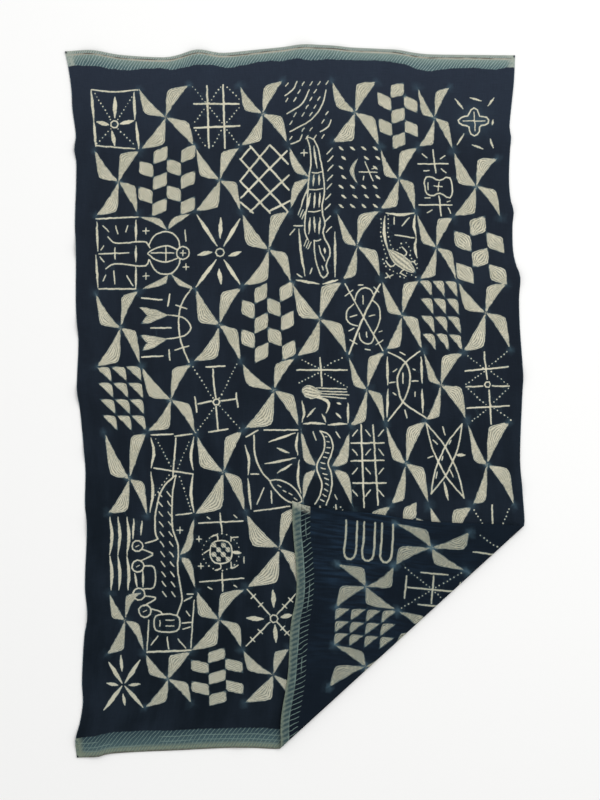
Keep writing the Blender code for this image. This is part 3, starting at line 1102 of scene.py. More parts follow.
def feather(tile):
    tile.strokes(2.0, ((3, 7), (15, 0)), ((21, 0), (55, 0)), ((11, 81), (28, 79), (47, 76)))
    tile.leaves(
        2.6, ((26, 12), (52, 3)), ((34, 18), (46, 23)), ((22, 34), (53, 28)), ((34, 43), (49, 34)),
    )
    sides = (
        ((2, 15), (6, 30), (5, 45)), ((5, 48), (8, 79)), ((55, 3), (53, 15), (55, 25)),
        ((56, 30), (55, 50), (58, 63)),
    )
    tile.leaves(2.8, *sides)
    tile.stroke(((11, 5), (12, 25), (19, 42), (27, 51)), 2.2)
    tile.stroke(((27, 51), (40, 51), (52, 59), (59, 71), (49, 73), (37, 65)), 1.9, closed=True)
    for across, down in ((35, 55), (40, 60), (46, 63), (51, 68)):
        tile.stroke(((across, down), (across + 3, down + 2)), 1.5)
    tile.strokes(1.8, ((8, 44), (16, 44)), ((21, 58), (14, 74)), ((28, 61), (29, 73)))


def snake(tile):
    """A snake down the middle of a pinwheel that is split in two."""
    blades = (
        ((1, 2), (16, 38), (3, 35)), ((49, 3), (31, 39), (49, 37)),
        ((3, 74), (17, 40), (3, 45)), ((53, 80), (33, 41), (50, 44)),
    )
    for tip, hub, corner in blades:
        tile.patch(tip, hub, corner, 3.6, lines=8, count=9)
        tile.haze(hub, 3.5)
    left_side = ((20, 3), (24, 10), (24, 22), (18, 34), (17, 42), (22, 55), (20, 67), (15, 76))
    right_side = ((20, 3), (28, 6), (33, 17), (31, 27), (28, 35), (31, 44), (32, 54), (30, 66), (26, 77))
    tile.strokes(2.0, left_side, right_side)
    left_path = smooth_path(left_side, 1.0)
    right_path = smooth_path(right_side, 1.0)
    for share in np.linspace(0.12, 0.95, 13):
        start = left_path[int(share * (len(left_path) - 1))]
        end = right_path[int(share * (len(right_path) - 1))]
        tile.stroke((start + (end - start) * 0.32 - (0, 1), start + (end - start) * 0.68 + (0, 1)), 1.5)
    tile.strokes(1.7, ((13, 4), (16, 12)), ((36, 4), (40, 10)), ((35, 67), (37, 71)))


def barred_grid(tile):
    tile.strokes(
        2.3, ((11, -3), (14, 80)), ((23, -2), (28, 78)), ((1, 16), (34, 16)), ((1, 34), (34, 33)),
        ((3, 56), (36, 56)),
    )
    for row, down in enumerate((6, 25, 44, 66)):
        for column, across in enumerate((5, 18, 31)):
            lean = 2.4 if (row + column) % 2 else -2.4
            tile.stroke(((across - lean, down - 3), (across + lean, down + 3)), 1.7)


def crossed_lenses(tile):
    for start, end in (((0, 2), (38, 77)), ((36, 3), (5, 73))):
        start, end = np.array(start, dtype=float), np.array(end, dtype=float)
        run = end - start
        middle = 0.5 * (start + end)
        for side in (1, -1):
            bulge = side * side_step(run) * 6.5
            upper = middle - run * 0.2 + bulge * 0.9
            lower = middle + run * 0.2 + bulge * 0.9
            tile.stroke((start, upper, middle + bulge, lower, end), 2.0)
    dashes = (
        ((17, 6), (19, 14)), ((7, 19), (11, 23)), ((25, 19), (23, 23)), ((2, 37), (7, 35)),
        ((17, 35), (16, 39)), ((24, 49), (27, 56)), ((11, 51), (10, 57)),
    )
    tile.strokes(1.7, *dashes)
    tile.leaves(3.4, ((30, 34), (39, 34)), ((18, 61), (22, 79)))


def wavy_strokes(tile):
    for across in (3, 11, 20):
        tile.leaves(
            3.6, ((across, 2), (across + 2, 21), (across, 40)),
            ((across, 41), (across + 2, 58), (across + 1, 75)),
        )
    tile.leaves(2.4, ((27, 4), (26, 24)), ((28, 58), (30, 72)), ((35, 6), (34, 20)), ((36, 56), (36, 72)))


def tortoise(tile):
    """A tortoise with a checked shell, between two crosses."""
    centre = np.array((27.0, 37.0))
    shell = ((-10.5, -5), (-10.5, 5), (-6, 10.5), (6, 10.5), (10.5, 5), (10.5, -5), (6, -10.5), (-6, -10.5))
    tile.stroke(centre + shell, 1.8, closed=True)
    for row in range(4):
        for column in range(4):
            if (row + column) % 2 == 0:
                low = centre + (4.7 * column - 9.4, 4.7 * row - 9.4)
                tile.patch(low, low + 4.7, low + (4.7, 0.0), 2.6, low + (0.0, 4.7), 2.6, lines=2, count=5)
    legs = (
        ((17, 22), (23, 20), (24, 26)), ((37, 26), (37, 23), (44, 22)), ((15, 35), (10, 38)),
        ((21, 55), (27, 53), (26, 48)), ((37, 47), (38, 53), (44, 50)),
    )
    tile.strokes(1.8, *legs)
    tile.leaves(4.0, ((38, 37), (47, 38)))
    tile.dots(centre + 18.5 * circle_points(np.arange(0.0, 361.0, 15.0)), 4.6)
    tile.strokes(2.0, ((26, -2), (28, 17)), ((5, 8), (49, 6)), ((28, 58), (29, 76)), ((6, 67), (50, 63)))
    tile.strokes(
        1.7, ((13, 2), (16, 4)), ((40, 0), (43, 3)), ((50, 42), (50, 48)), ((14, 72), (18, 74)),
        ((40, 70), (43, 72)),
    )
    tile.cross((5, 24), 2.6)
    tile.cross((7, 51), 2.6)


def thorned_flower(tile):
    tile.ring((28, 30.5), 4.0)
    tile.leaves(5.4, ((27, 2), (28, 19)), ((1, 30), (17, 31)), ((35, 29), (46, 27)), ((29, 37), (30, 54)))
    for start, end in (((24, 27), (1, 1)), ((31, 26), (50, 6)), ((24, 34), (0, 58)), ((31, 34), (45, 49))):
        tile.stroke((start, end), 1.9)
        start, end = np.array(start, dtype=float), np.array(end, dtype=float)
        aside = side_step(end - start) * 3.0
        for share in (0.4, 0.72):
            middle = start + (end - start) * share
            tile.stroke((middle - aside, middle + aside), 1.5)


def ray_flower(tile):
    tile.leaves(4.6, ((16, 28), (3, 7)), ((19, 28), (34, 5)), ((19, 31), (37, 52)), ((16, 31), (-2, 55)))
    tile.leaves(3.6, ((15, 0), (16, 16)), ((1, 28), (12, 30)), ((23, 30), (34, 29)), ((17, 39), (19, 50)))


def dotted_cross(tile):
    tile.strokes(
        2.2, ((20, -1), (21, 27)), ((22, 44), (23, 70)), ((5, 36), (16, 36)), ((27, 35), (39, 34)),
    )
    tile.ring((21.5, 35.5), 4.4)
    tile.dotted(((18, 31), (2, 4)), ((25, 31), (37, 3)), ((18, 40), (3, 66)), ((26, 40), (40, 64)))


def barred_cross(tile):
    tile.strokes(2.2, ((24, 5), (24, 56)), ((10, 31), (38, 31)))
    tile.strokes(2.2, ((13, 4), (34, 4)), ((13, 58), (35, 58)), ((40, 17), (40, 44)), ((8, 19), (8, 44)))
    tile.dotted(((24, 31), (3, 4)), ((24, 31), (43, 4)), ((24, 31), (3, 60)), ((24, 31), (43, 60)))


def open_loops(tile):
    """Three long loops, open at the right."""
    for down in (4.0, 22.0, 40.0):
        loop = ((41, 1), (24, 0), (8, 0), (3, 3), (3, 8), (8, 11), (24, 11), (41, 12))
        tile.stroke([(across, down + further) for across, further in loop], 2.8)


# What fills the tiles between the pinwheels
MOTIFS = {
    (0, 0): boxed_ring,
    (0, 2): crossed_bars,
    (0, 4): rain,
    (0, 6): lambda tile: checker(tile, 3, 5),
    (0, 8): four_lobes,
    (1, 1): lambda tile: checker(tile, 4, 5),
    (1, 3): lattice,
    (1, 4): crocodile,
    (1, 5): crescent,
    (1, 7): bow,
    (2, 0): figure,
    (2, 2): flower,
    (2, 6): lizard,
    (2, 8): lambda tile: checker(tile, 3, 4),
    (3, 1): forked_flags,
    (3, 3): lambda tile: checker(tile, 4, 5),
    (3, 5): crossed_loops,
    (3, 7): lambda tile: triangles(tile, 3, 4, False),
    (4, 0): lambda tile: triangles(tile, 3, 4, False),
    (4, 2): ringed_cross,
    (4, 4): open_hand,
    (4, 6): crossed_arcs,
    (4, 8): dotted_diamonds,
    (5, 1): long_animal,
    (5, 3): feather,
    (5, 4): snake,
    (5, 5): barred_grid,
    (5, 7): crossed_lenses,
    (6, 0): wavy_strokes,
    (6, 2): tortoise,
    (6, 4): crossed_bars,
    (6, 6): lambda tile: checker(tile, 3, 5),
    (6, 8): dotted_cross,
    (7, 3): thorned_flower,
    (7, 5): barred_cross,
    (7, 7): barred_cross,
    (8, 0): ray_flower,
    (8, 2): lambda tile: checker(tile, 3, 5),
    (8, 4): ray_flower,
    (8, 6): lambda tile: triangles(tile, 3, 4, True),
    (8, 8): open_loops,
}


def draw_chart(seed):
    """The whole chart: a pinwheel on every odd tile, and the motifs between them."""
    chart = Chart(seed)
    for row in range(BOARD_TILES):
        for column in range(BOARD_TILES):
            if (row + column) % 2 and (row, column) not in CREATURE_TILES:
                pinwheel(chart.tile(row, column))
            if (row, column) in MOTIFS:
                MOTIFS[row, column](chart.tile(row, column))
    return chart


def opened_place(across, down, length):
    """Where shares across and down the sheet lie, with the corner opened out.

    x goes evenly from the left side's curve to the right side's, and y evenly
    from the top end's curve to the bottom end's.
    """
    left = smooth_curve(LEFT_SIDE, down * length)
    right = smooth_curve(RIGHT_SIDE, down * length)
    x = left + (right - left) * across
    top = smooth_curve(TOP_END, x)
    bottom = smooth_curve(BOTTOM_END, x)
    return np.stack([x, top + (bottom - top) * down], axis=1)


def sheet_share(places, length):
    """The shares across and down the sheet of places on it: opened_place, turned round."""
    x, y = places[:, 0], places[:, 1]
    top = smooth_curve(TOP_END, x)
    bottom = smooth_curve(BOTTOM_END, x)
    down = (y - top) / (bottom - top)
    left = smooth_curve(LEFT_SIDE, down * length)
    right = smooth_curve(RIGHT_SIDE, down * length)
    return (x - left) / (right - left), down


def fold_frame(angle):
    """The fold line's direction, up to the right, and its normal to the corner."""
    return np.array([math.cos(angle), math.sin(angle)]), np.array([math.sin(angle), -math.cos(angle)])


def ridge_height(ridges, places):
    """How far the ridges lift each place: the highest of them, each a soft hump.

    A hump is the squared cosine across the ridge, and falls along it in an S curve.
    """
    highest = np.zeros(len(places))
    for ridge in ridges:
        start = np.array([ridge.x, ridge.y])
        run = np.array([ridge.end_x, ridge.end_y]) - start
        length = np.linalg.norm(run)
        offset = places - start
        along = offset @ run / length
        aside = np.abs(offset[:, 0] * run[1] - offset[:, 1] * run[0]) / length
        hump = np.cos(0.5 * math.pi * np.clip(aside / ridge.half_width, 0.0, 1.0)) ** 2
        highest = np.maximum(highest, ridge.height * hump * (1.0 - soft_step(along / length)))
    return highest


def slack_height(places):
    """The slack of the weave: the sum of low sine waves, each lifted to stay above 0."""
    total = np.zeros(len(places))
    for wave in SLACK:
        angle = math.radians(wave.degrees)
        along = places[:, 0] * math.cos(angle) + places[:, 1] * math.sin(angle)
        total += wave.height * (1.0 + np.sin(2.0 * math.pi * along / wave.length + wave.start))
    return total


def folded_places(opened, angle, thickness):
    """Where points of the reverse face lie, from their places on the opened sheet.

    Short of the roll a point stays. Along the roll it climbs half a circle. Past
    the roll it comes back over the sheet, from the roll's height down to a rest
    height of two thicknesses and the gap. Ridges and slack are added on top.
    """
    direction, normal = fold_frame(angle)
    radius = smooth_curve(ROLL, (opened - FOLD_START) @ direction)
    reach = (opened - FOLD_POINT) @ normal + radius
    foot = opened - reach[:, None] * normal
    turn = reach / radius
    on_roll = (reach > 0.0) & (turn < math.pi)
    on_corner = turn >= math.pi
    back = reach - math.pi * radius
    rest = 2.0 * thickness + LAYER_GAP
    rolled = foot + (radius * np.sin(turn))[:, None] * normal
    landed = foot - back[:, None] * normal
    places = np.where(on_roll[:, None], rolled, np.where(on_corner[:, None], landed, opened))
    fallen = rest + (2.0 * radius - rest) * (1.0 - soft_step(back / ROLL_SPREAD))
    height = np.where(on_roll, radius * (1.0 - np.cos(turn)), np.where(on_corner, fallen, 0.0))
    height += ridge_height(SHEET_RIDGES, places) + slack_height(places)
    height += np.where(on_corner, ridge_height(CORNER_RIDGES, places), 0.0)
    return np.column_stack([places, height]), on_corner


def roll_rows(angle):
    """Rows of points along the roll, as places on the opened sheet, in even steps round its half circle."""
    direction, normal = fold_frame(angle)
    along = np.arange(ROLL_START, ROLL_END, ROLL_STEP)
    line = FOLD_START + along[:, None] * direction
    offset = (line - FOLD_POINT) @ normal
    radius = smooth_curve(ROLL, along)
    rows = []
    for row in range(ROLL_ROWS + 1):
        reach = math.pi * radius * row / ROLL_ROWS - radius - offset
        rows.append(line + reach[:, None] * normal)
    return rows


def cloth_net(chart, width, length, angle):
    """The flat net: the places of its points across and down the cloth, and its triangles.

    The points of an even grid, of the hems, of the roll and of all the chart's
    outlines are joined by a triangulation that keeps every outline as edges.
    """
    steps_down = int(round(length / GRID_STEP))
    hem_rows = np.array(HEM_ROWS)
    inner = np.linspace(hem_rows[-1], length - hem_rows[-1], steps_down + 1)[1:-1]
    rows = np.concatenate([hem_rows, inner, length - hem_rows[::-1]])
    columns = np.linspace(0.0, width, int(round(width / GRID_STEP)) + 1)
    beside = np.array(SELVEDGE_COLUMNS)
    columns = np.sort(np.concatenate([columns, beside, width - beside]))
    grid = np.stack(np.meshgrid(columns, rows), axis=2)
    shake = np.random.default_rng(GRID_SEED).uniform(-GRID_SHAKE, GRID_SHAKE, grid.shape)
    # The selvedges, the columns beside them and the hems aren't shaken
    shake[:, (0, 1, 2, -3, -2, -1)] = 0.0
    shake[: len(hem_rows)] = 0.0
    shake[-len(hem_rows):] = 0.0
    grid = (grid + shake).reshape(-1, 2)

    lines = [(row, False) for row in roll_rows(angle)]
    for mark in chart.marks:
        lines.extend(mark.outlines())
    counts = np.array([len(line) for line, _ in lines])
    across, down = sheet_share(np.concatenate([line for line, _ in lines]), length)
    inside = np.minimum(across, 1.0 - across) > SELVEDGE_MARGIN
    inside &= np.minimum(down, 1.0 - down) > END_MARGIN
    marks = np.stack([across * width, down * length], axis=1)

    starts = np.concatenate([[0], np.cumsum(counts)[:-1]])
    edges = []
    for (line, closed), start, count in zip(lines, starts, counts):
        first = np.arange(start, start + count)
        second = np.roll(first, -1)
        if not closed:
            first, second = first[:-1], second[:-1]
        edges.append(np.stack([first, second], axis=1))
    edges = np.concatenate(edges)
    edges = edges[inside[edges].all(axis=1)]
    renumber = np.cumsum(inside) - 1
    edges = renumber[edges]
    marks = marks[inside]

    points = np.concatenate([marks, grid]) * MILLIMETRES
    made = delaunay_2d_cdt(
        list(map(Vector, points.tolist())), list(map(tuple, edges.tolist())), [], 0, NET_EPSILON_MM, False)
    return np.array([tuple(point) for point in made[0]]) / MILLIMETRES, np.array(made[2], dtype=int)


def paint_net(chart, places):
    """What the paste did at each place: how far inside it is, the scratched lines there, and the haze.

    How far inside is minus the gap to the nearest mark, counted in soaks. Haze is
    the sum of soft bells, one for each place where the dye only half took.
    """
    resist = np.full(len(places), -REACH / SOAK)
    scratch = np.zeros(len(places))
    order = np.argsort(places[:, 0])
    sorted_x = places[order, 0]
    for mark in chart.marks:
        low, high = mark.bounds()
        first, last = np.searchsorted(sorted_x, (low[0] - REACH, high[0] + REACH))
        near = order[first:last]
        y = places[near, 1]
        near = near[(y > low[1] - REACH) & (y < high[1] + REACH)]
        if not len(near):
            continue
        gap, lines = mark.measure(places[near])
        inside = -gap / SOAK
        closer = inside > resist[near]
        if lines is not None:
            taken = closer & (inside > -STAIN - 1.0)
            scratch[near[taken]] = lines[taken]
        else:
            taken = closer & (inside > 0.0)
            scratch[near[taken]] = 0.0
        resist[near] = np.maximum(resist[near], inside)
    haze = np.zeros(len(places))
    for x, y, spread in chart.hazes:
        away = np.hypot(places[:, 0] - x, places[:, 1] - y) / spread
        haze += np.exp(-0.5 * away * away)
    return resist, scratch, np.clip(haze, 0.0, 1.0)


def hem_thickness(flat, length, thickness, hem, hem_width):
    """The cloth's thickness: a rounded hem at both ends, a groove at its seam, then plain cloth."""
    from_end = np.minimum(flat[:, 1], length - flat[:, 1])
    part = np.clip(from_end / hem_width, 0.0, 1.0)
    bulge = np.sqrt(np.clip(1.0 - (2.0 * part - 1.0) ** 2, 0.0, 1.0))
    groove = np.exp(-0.5 * ((from_end - hem_width) / GROOVE_REACH) ** 2)
    swell = 1.0 + SWELL * np.sin(flat[:, 0] * 2.0 * math.pi / SWELL_PITCH) * bulge
    return thickness + ((hem - thickness) * bulge * swell - GROOVE_DEPTH * thickness * groove)


def triangle_turns(points, triangles):
    """The cross product of two sides of each triangle, which is twice its area."""
    first, second, third = (points[triangles[:, corner]] for corner in range(3))
    return np.cross(second - first, third - first)


def face_normals(points, triangles):
    """Unit normals at the points: the sum of the cross products of the triangles round each of them."""
    cross = triangle_turns(points, triangles)
    total = np.zeros_like(points)
    for corner in range(3):
        np.add.at(total, triangles[:, corner], cross)
    return total / np.maximum(np.linalg.norm(total, axis=1, keepdims=True), TINY)


def border_edges(triangles):
    """The edges that only one triangle uses, in that triangle's own order."""
    edges = np.concatenate([triangles[:, (0, 1)], triangles[:, (1, 2)], triangles[:, (2, 0)]])
    keys = np.sort(edges, axis=1)
    _, first, counts = np.unique(keys, axis=0, return_index=True, return_counts=True)
    return edges[first[counts == 1]]


def sheet_mesh(name, chart, sizes):
    """The cloth as one closed mesh: its front, its reverse, a narrow rim and what was painted on it.

    The middle of its box is put over the middle of the floor, and is given back.
    """
    width, length = sizes.width, sizes.length
    angle = sizes.fold_angle
    flat, triangles = cloth_net(chart, width, length, angle)
    across, down = flat[:, 0] / width, flat[:, 1] / length
    opened = opened_place(np.clip(across, 0.0, 1.0), np.clip(down, 0.0, 1.0), length)

    # The net is drawn with down as its second axis, so its triangles are turned to face up
    turns = triangle_turns(opened, triangles)
    triangles = triangles[np.abs(turns) > FLAT_TRIANGLE]
    turns = turns[np.abs(turns) > FLAT_TRIANGLE]
    triangles[turns < 0.0] = triangles[turns < 0.0][:, ::-1]

    back, on_corner = folded_places(opened, angle, sizes.thickness)
    middle = 0.5 * (back.min(axis=0) + back.max(axis=0))
    back[:, :2] -= middle[:2]
    normals = face_normals(back, triangles)
    wall = hem_thickness(flat, length, sizes.thickness, sizes.hem_thickness, sizes.hem_width)
    front = back + normals * wall[:, None]
    raised = np.where(on_corner, REVERSE_SHARE * (wall - sizes.thickness), 0.0)
    back = back - normals * raised[:, None]

    count = len(flat)
    border = border_edges(triangles)
    rim = np.concatenate([
        np.stack([border[:, 1], border[:, 0], border[:, 0] + count], axis=1),
        np.stack([border[:, 1], border[:, 0] + count, border[:, 1] + count], axis=1),
    ])
    faces = np.concatenate([triangles, triangles[:, ::-1] + count, rim])
    mesh = bpy.data.meshes.new(name)
    mesh.from_pydata(np.concatenate([front, back]).tolist(), [], faces.tolist())

    resist, scratch, haze = paint_net(chart, opened)
    layers = {
        "resist": np.tile(resist, 2),
        "scratch": np.tile(scratch, 2),
        "haze": np.tile(haze, 2),
        "reverse": np.repeat([0.0, 1.0], count),
    }
    for layer, values in layers.items():
        mesh.attributes.new(layer, "FLOAT", "POINT").data.foreach_set("value", values)

    corners = faces.ravel() % count
    on_back = np.repeat([False, True, False], [3 * len(triangles), 3 * len(triangles), 3 * len(rim)])
    threads = mesh.uv_layers.new(name="threads")
    threads.data.foreach_set("uv", flat[corners].ravel())
    share = np.stack([across, 1.0 - down], axis=1)[corners]
    front_place = FRONT_MAP.start + FRONT_MAP.size * share[:, 0]
    reverse_place = REVERSE_MAP.start + REVERSE_MAP.size * share[:, 0]
    share[:, 0] = np.where(on_back, reverse_place, front_place)
    share[:, 1] = MAP_HEIGHT.start + MAP_HEIGHT.size * share[:, 1]
    baked = mesh.uv_layers.new(name="OFBake")
    baked.data.foreach_set("uv", share.ravel())
    mesh.shade_smooth()
    mesh.set_sharp_from_angle(angle=SHARP_ANGLE)
    return mesh, middle


def linear(red, green, blue):
    """A colour as light, from its three parts out of 255, by the curve that displays use."""
    parts = np.array([red, green, blue], dtype=float) / 255.0
    light = np.where(parts <= 0.04045, parts / 12.92, ((parts + 0.055) / 1.055) ** 2.4)
    return tuple(float(part) for part in light)


# The mix node's sockets for a share and two colours, and the one that gives the mix
MIX_SHARE = 0
MIX_FIRST = 6
MIX_SECOND = 7
MIX_RESULT = 2


class Steps:
    """Adds nodes to a material, one short call for each step."""

    def __init__(self, material):
        material.use_nodes = True
        self.tree = material.node_tree
        self.shader = self.tree.nodes["Principled BSDF"]

    def add(self, kind, **settings):
        node = self.tree.nodes.new(kind)
        for name, value in settings.items():
            setattr(node, name, value)
        return node

    def put(self, value, socket):
        """Links a node's output to a socket, or sets the socket's own number or colour."""
        if isinstance(value, bpy.types.NodeSocket):
            self.tree.links.new(value, socket)
        elif socket.type == "RGBA":
            socket.default_value = (*value, 1.0)
        else:
            socket.default_value = value

    def calculate(self, operation, *values):
        node = self.add("ShaderNodeMath", operation=operation)
        for value, socket in zip(values, node.inputs):
            self.put(value, socket)
        return node.outputs[0]

    def plus(self, total, *values):
        for value in values:
            total = self.calculate("ADD", total, value)
        return total

    def less(self, value, other):
        return self.calculate("SUBTRACT", value, other)

    def times(self, product, *values):
        for value in values:
            product = self.calculate("MULTIPLY", product, value)
        return product

    def off_half(self, value):
        """How far a value is from the middle between two whole numbers."""
        return self.calculate("ABSOLUTE", self.less(self.calculate("FRACT", value), 0.5))

    def range(self, value, low, high, first=0.0, last=1.0):
        """A soft step: first where the value is low, last where it is high."""
        node = self.add("ShaderNodeMapRange", interpolation_type="SMOOTHSTEP")
        for item, socket in zip((value, low, high, first, last), node.inputs):
            self.put(item, socket)
        return node.outputs[0]

    def mix(self, share, first, second, how="MIX"):
        node = self.add("ShaderNodeMix", data_type="RGBA", blend_type=how)
        self.put(share, node.inputs[MIX_SHARE])
        self.put(first, node.inputs[MIX_FIRST])
        self.put(second, node.inputs[MIX_SECOND])
        return node.outputs[MIX_RESULT]

    def noise(self, vector, scale, detail=2.0, roughness=0.5):
        node = self.add("ShaderNodeTexNoise", noise_dimensions="3D")
        self.put(vector, node.inputs["Vector"])
        for name, value in (("Scale", scale), ("Detail", detail), ("Roughness", roughness)):
            node.inputs[name].default_value = value
        return node.outputs[0]

    def spread(self, vector, scale, turn=0.0):
        node = self.add("ShaderNodeMapping")
        self.put(vector, node.inputs["Vector"])
        node.inputs["Rotation"].default_value = (0.0, 0.0, turn)
        node.inputs["Scale"].default_value = scale
        return node.outputs[0]

    def layer(self, name):
        node = self.add("ShaderNodeAttribute", attribute_name=name)
        return node.outputs["Fac"]


# The ribs of the weave are a sine: its angle in radians for each metre, and how
# far that angle wanders
WARP_RIBS = 5200.0
WEFT_RIBS = 4700.0
WARP_WANDER = 5.0
WEFT_WANDER = 4.0
# The cotton hardly shines, and its relief is counted in steps of this depth
SHINE = 0.02
RELIEF_DEPTH = 0.001
RELIEF_STRENGTH = 0.8


def indigo_material(colours, sizes):
    """Indigo cotton: dyed ground, creamy resist with scratched lines, faded hems, weave and crinkle, with
    painted light and shade down its length and a painted sheen on the turned-up corner.

    Everything reads the cloth's own thread map, in metres across and down it, or
    the layers that the chart painted on the net.
    """
    material = bpy.data.materials.new("indigo_cotton")
    steps = Steps(material)
    threads = steps.add("ShaderNodeUVMap", uv_map="threads").outputs[0]
    parts = steps.add("ShaderNodeSeparateXYZ")
    steps.put(threads, parts.inputs[0])
    across, down = parts.outputs[0], parts.outputs[1]
    resist = steps.layer("resist")
    scratch = steps.layer("scratch")
    haze = steps.layer("haze")
    reverse = steps.range(steps.layer("reverse"), 0.4, 0.6)

    # Threads: two sets of ribs, a little over a millimetre apart, and slubs in both
    wander = steps.noise(threads, 60.0, 2.0)
    warp = steps.plus(steps.times(across, WARP_RIBS), steps.times(wander, WARP_WANDER))
    weft = steps.plus(steps.times(down, WEFT_RIBS), steps.times(wander, WEFT_WANDER))
    weave = steps.times(steps.calculate("SINE", warp), steps.calculate("SINE", weft))
    slub = steps.noise(steps.spread(threads, (40.0, 900.0, 1.0)), 1.0, 2.0)
    slub_down = steps.noise(steps.spread(threads, (900.0, 40.0, 1.0)), 1.0, 2.0)

    # The dyed ground, shaded down its length with painted light: paler and a little violet at the top end,
    # darkest at the foot
    mottle = steps.noise(threads, 6.0, 3.0, 0.6)
    streaks = steps.noise(steps.spread(threads, (30.0, 4.0, 1.0)), 1.0, 3.0, 0.6)
    ground = steps.mix(steps.range(down, 0.0, 0.24), colours.ground_top, colours.ground_middle)
    ground = steps.mix(steps.range(down, 0.25, 1.15), ground, colours.ground_foot)
    patchy = steps.plus(steps.times(mottle, 0.6), steps.times(streaks, 0.4))
    patchy = steps.range(patchy, 0.38, 0.68, 0.0, 0.30)
    ground = steps.mix(patchy, ground, colours.ground_pale)
    ground = steps.mix(steps.times(reverse, 0.80), ground, colours.ground_reverse)

    # Painted sheen: paler blue streaks on the reverse, near the corner that is turned up, where its creases
    # catch the light
    crease_sheen = steps.noise(steps.spread(threads, (170.0, 16.0, 1.0), turn=0.12), 1.0, 3.0)
    corner = steps.times(steps.range(across, 0.50, 0.86), steps.range(down, 0.95, 1.30))
    crease_sheen = steps.times(steps.range(crease_sheen, 0.36, 0.70), steps.range(mottle, 0.36, 0.60), corner)
    crease_sheen = steps.times(crease_sheen, steps.times(reverse, 0.42))
    ground = steps.mix(crease_sheen, ground, colours.crease_sheen)

    # Haze where dye crept under the paste, stronger on the reverse, and a stain along each outline
    patches = steps.noise(threads, 55.0, 2.0)
    blur = steps.times(
        haze, steps.range(patches, 0.20, 0.75, 0.35, 1.0), steps.plus(steps.times(reverse, 0.26), 0.24))
    ground = steps.mix(blur, ground, colours.haze)
    uneven = steps.times(steps.less(steps.noise(threads, 420.0, 2.0, 0.6), 0.5), 2.6)
    painted = steps.plus(resist, uneven)
    stain = steps.times(steps.range(painted, -2.4, -0.1), steps.range(patches, 0.25, 0.75, 0.15, 0.62))
    ground = steps.mix(stain, ground, colours.stain)

    # The resist: cream cotton, a little dirty in spots, and greyer towards the foot with painted shade
    cream_spots = steps.noise(threads, 24.0, 3.0, 0.6)
    cream = steps.mix(steps.range(cream_spots, 0.3, 0.7), colours.cream, colours.cream_dull)
    cream = steps.mix(steps.range(down, 0.7, 1.35, 0.0, 0.45), cream, colours.cream_grey)
    cream = steps.mix(steps.times(reverse, 0.62), cream, colours.cream_reverse)

    # Fine lines where dye took in the scratches, and a fainter set across them
    line = steps.range(steps.off_half(scratch), 0.36, 0.12)
    broken = steps.range(steps.noise(threads, 190.0, 2.0), 0.30, 0.52, 0.25, 1.0)
    depth = steps.plus(steps.times(reverse, 0.26), 0.68)
    line = steps.times(line, broken, depth)
    shaken = steps.times(steps.noise(threads, 14.0, 1.0), 1.6)
    comb = steps.off_half(steps.plus(steps.times(across, 112.0), steps.times(down, 142.0), shaken))
    comb = steps.times(steps.range(comb, 0.26, 0.08), steps.range(cream_spots, 0.36, 0.56, 0.0, 0.22))
    line = steps.calculate("MAXIMUM", line, comb)
    cream = steps.mix(line, cream, colours.scratch)
    thready = steps.plus(steps.times(slub, 0.5), steps.times(slub_down, 0.5))
    cream = steps.mix(steps.range(thready, 0.40, 0.62, 0.0, 0.26), cream, colours.stain)
    resisted = steps.range(painted, -0.75, 0.75)
    colour = steps.mix(resisted, ground, cream)

    # The ends, whose hems the dye faded on
    from_side = steps.calculate("MINIMUM", across, steps.less(sizes.width, across))
    colour = end_bands(steps, colours, sizes, colour, across, down, from_side, threads, reverse)

    # Worn, paler selvedge threads
    worn = steps.times(
        steps.range(from_side, 0.0022, 0.0002), steps.range(patches, 0.3, 0.7, 0.05, 0.40),
        steps.less(1.0, reverse))
    colour = steps.mix(worn, colour, colours.haze)

    # Single threads catch a little more or less dye
    fleck = steps.range(thready, 0.30, 0.70, 0.90, 1.12)
    shade = steps.add("ShaderNodeCombineColor")
    for socket in shade.inputs:
        steps.put(fleck, socket)
    colour = steps.mix(1.0, colour, shade.outputs[0], "MULTIPLY")
    steps.put(colour, steps.shader.inputs["Base Color"])
    steps.put(steps.range(resisted, 0.0, 1.0, 0.88, 0.95), steps.shader.inputs["Roughness"])
    steps.shader.inputs["Specular IOR Level"].default_value = SHINE

    # Relief: the weave, soft crinkles, and threads sunk in the scratches
    crinkle = steps.noise(steps.spread(threads, (14.0, 22.0, 1.0)), 1.0, 4.0, 0.6)
    creases = steps.noise(steps.spread(threads, (3.0, 60.0, 1.0), turn=0.2), 1.0, 2.0, 0.5)
    relief = steps.plus(steps.times(crinkle, 2.6), steps.times(creases, 0.7), steps.times(weave, 0.055))
    relief = steps.less(steps.plus(relief, steps.times(thready, 0.20)), steps.times(line, 0.10))
    bump = steps.add("ShaderNodeBump")
    bump.inputs["Strength"].default_value = RELIEF_STRENGTH
    bump.inputs["Distance"].default_value = RELIEF_DEPTH
    steps.put(relief, bump.inputs["Height"])
    steps.put(bump.outputs[0], steps.shader.inputs["Normal"])
    return material


# The hem of one end on one side of the cloth. Distances are from the end: where
# the twisted edge stops, how softly, how dark or pale its seam is, where the band
# ends, how far that wanders, and where pale threads run and how rarely. The pitch
# of the twist and of the stitches is along the end. The lean is the stitches'
# shift along it for each metre of depth, and half is a stitch's half width as a
# share of its pitch.
Band = namedtuple("Band", "edge soft sunk end wander threads rare twist pitch lean half")
TOP_BAND = Band(0.0064, 0.0006, 0.85, 0.0270, 0.040, (), 0.0, 0.0046, 0.0060, -0.75, 0.18)
FOOT_BAND = Band(0.0120, 0.0050, 0.50, 0.0410, 0.010, (0.0195, 0.0290), -0.06, 0.0060, 0.0086, 0.85, 0.13)
FOOT_REVERSE_BAND = Band(0.0170, 0.0012, 0.75, 0.0360, 0.006, (0.0275,), 0.10, 0.0100, 0.0102, 0.78, 0.11)

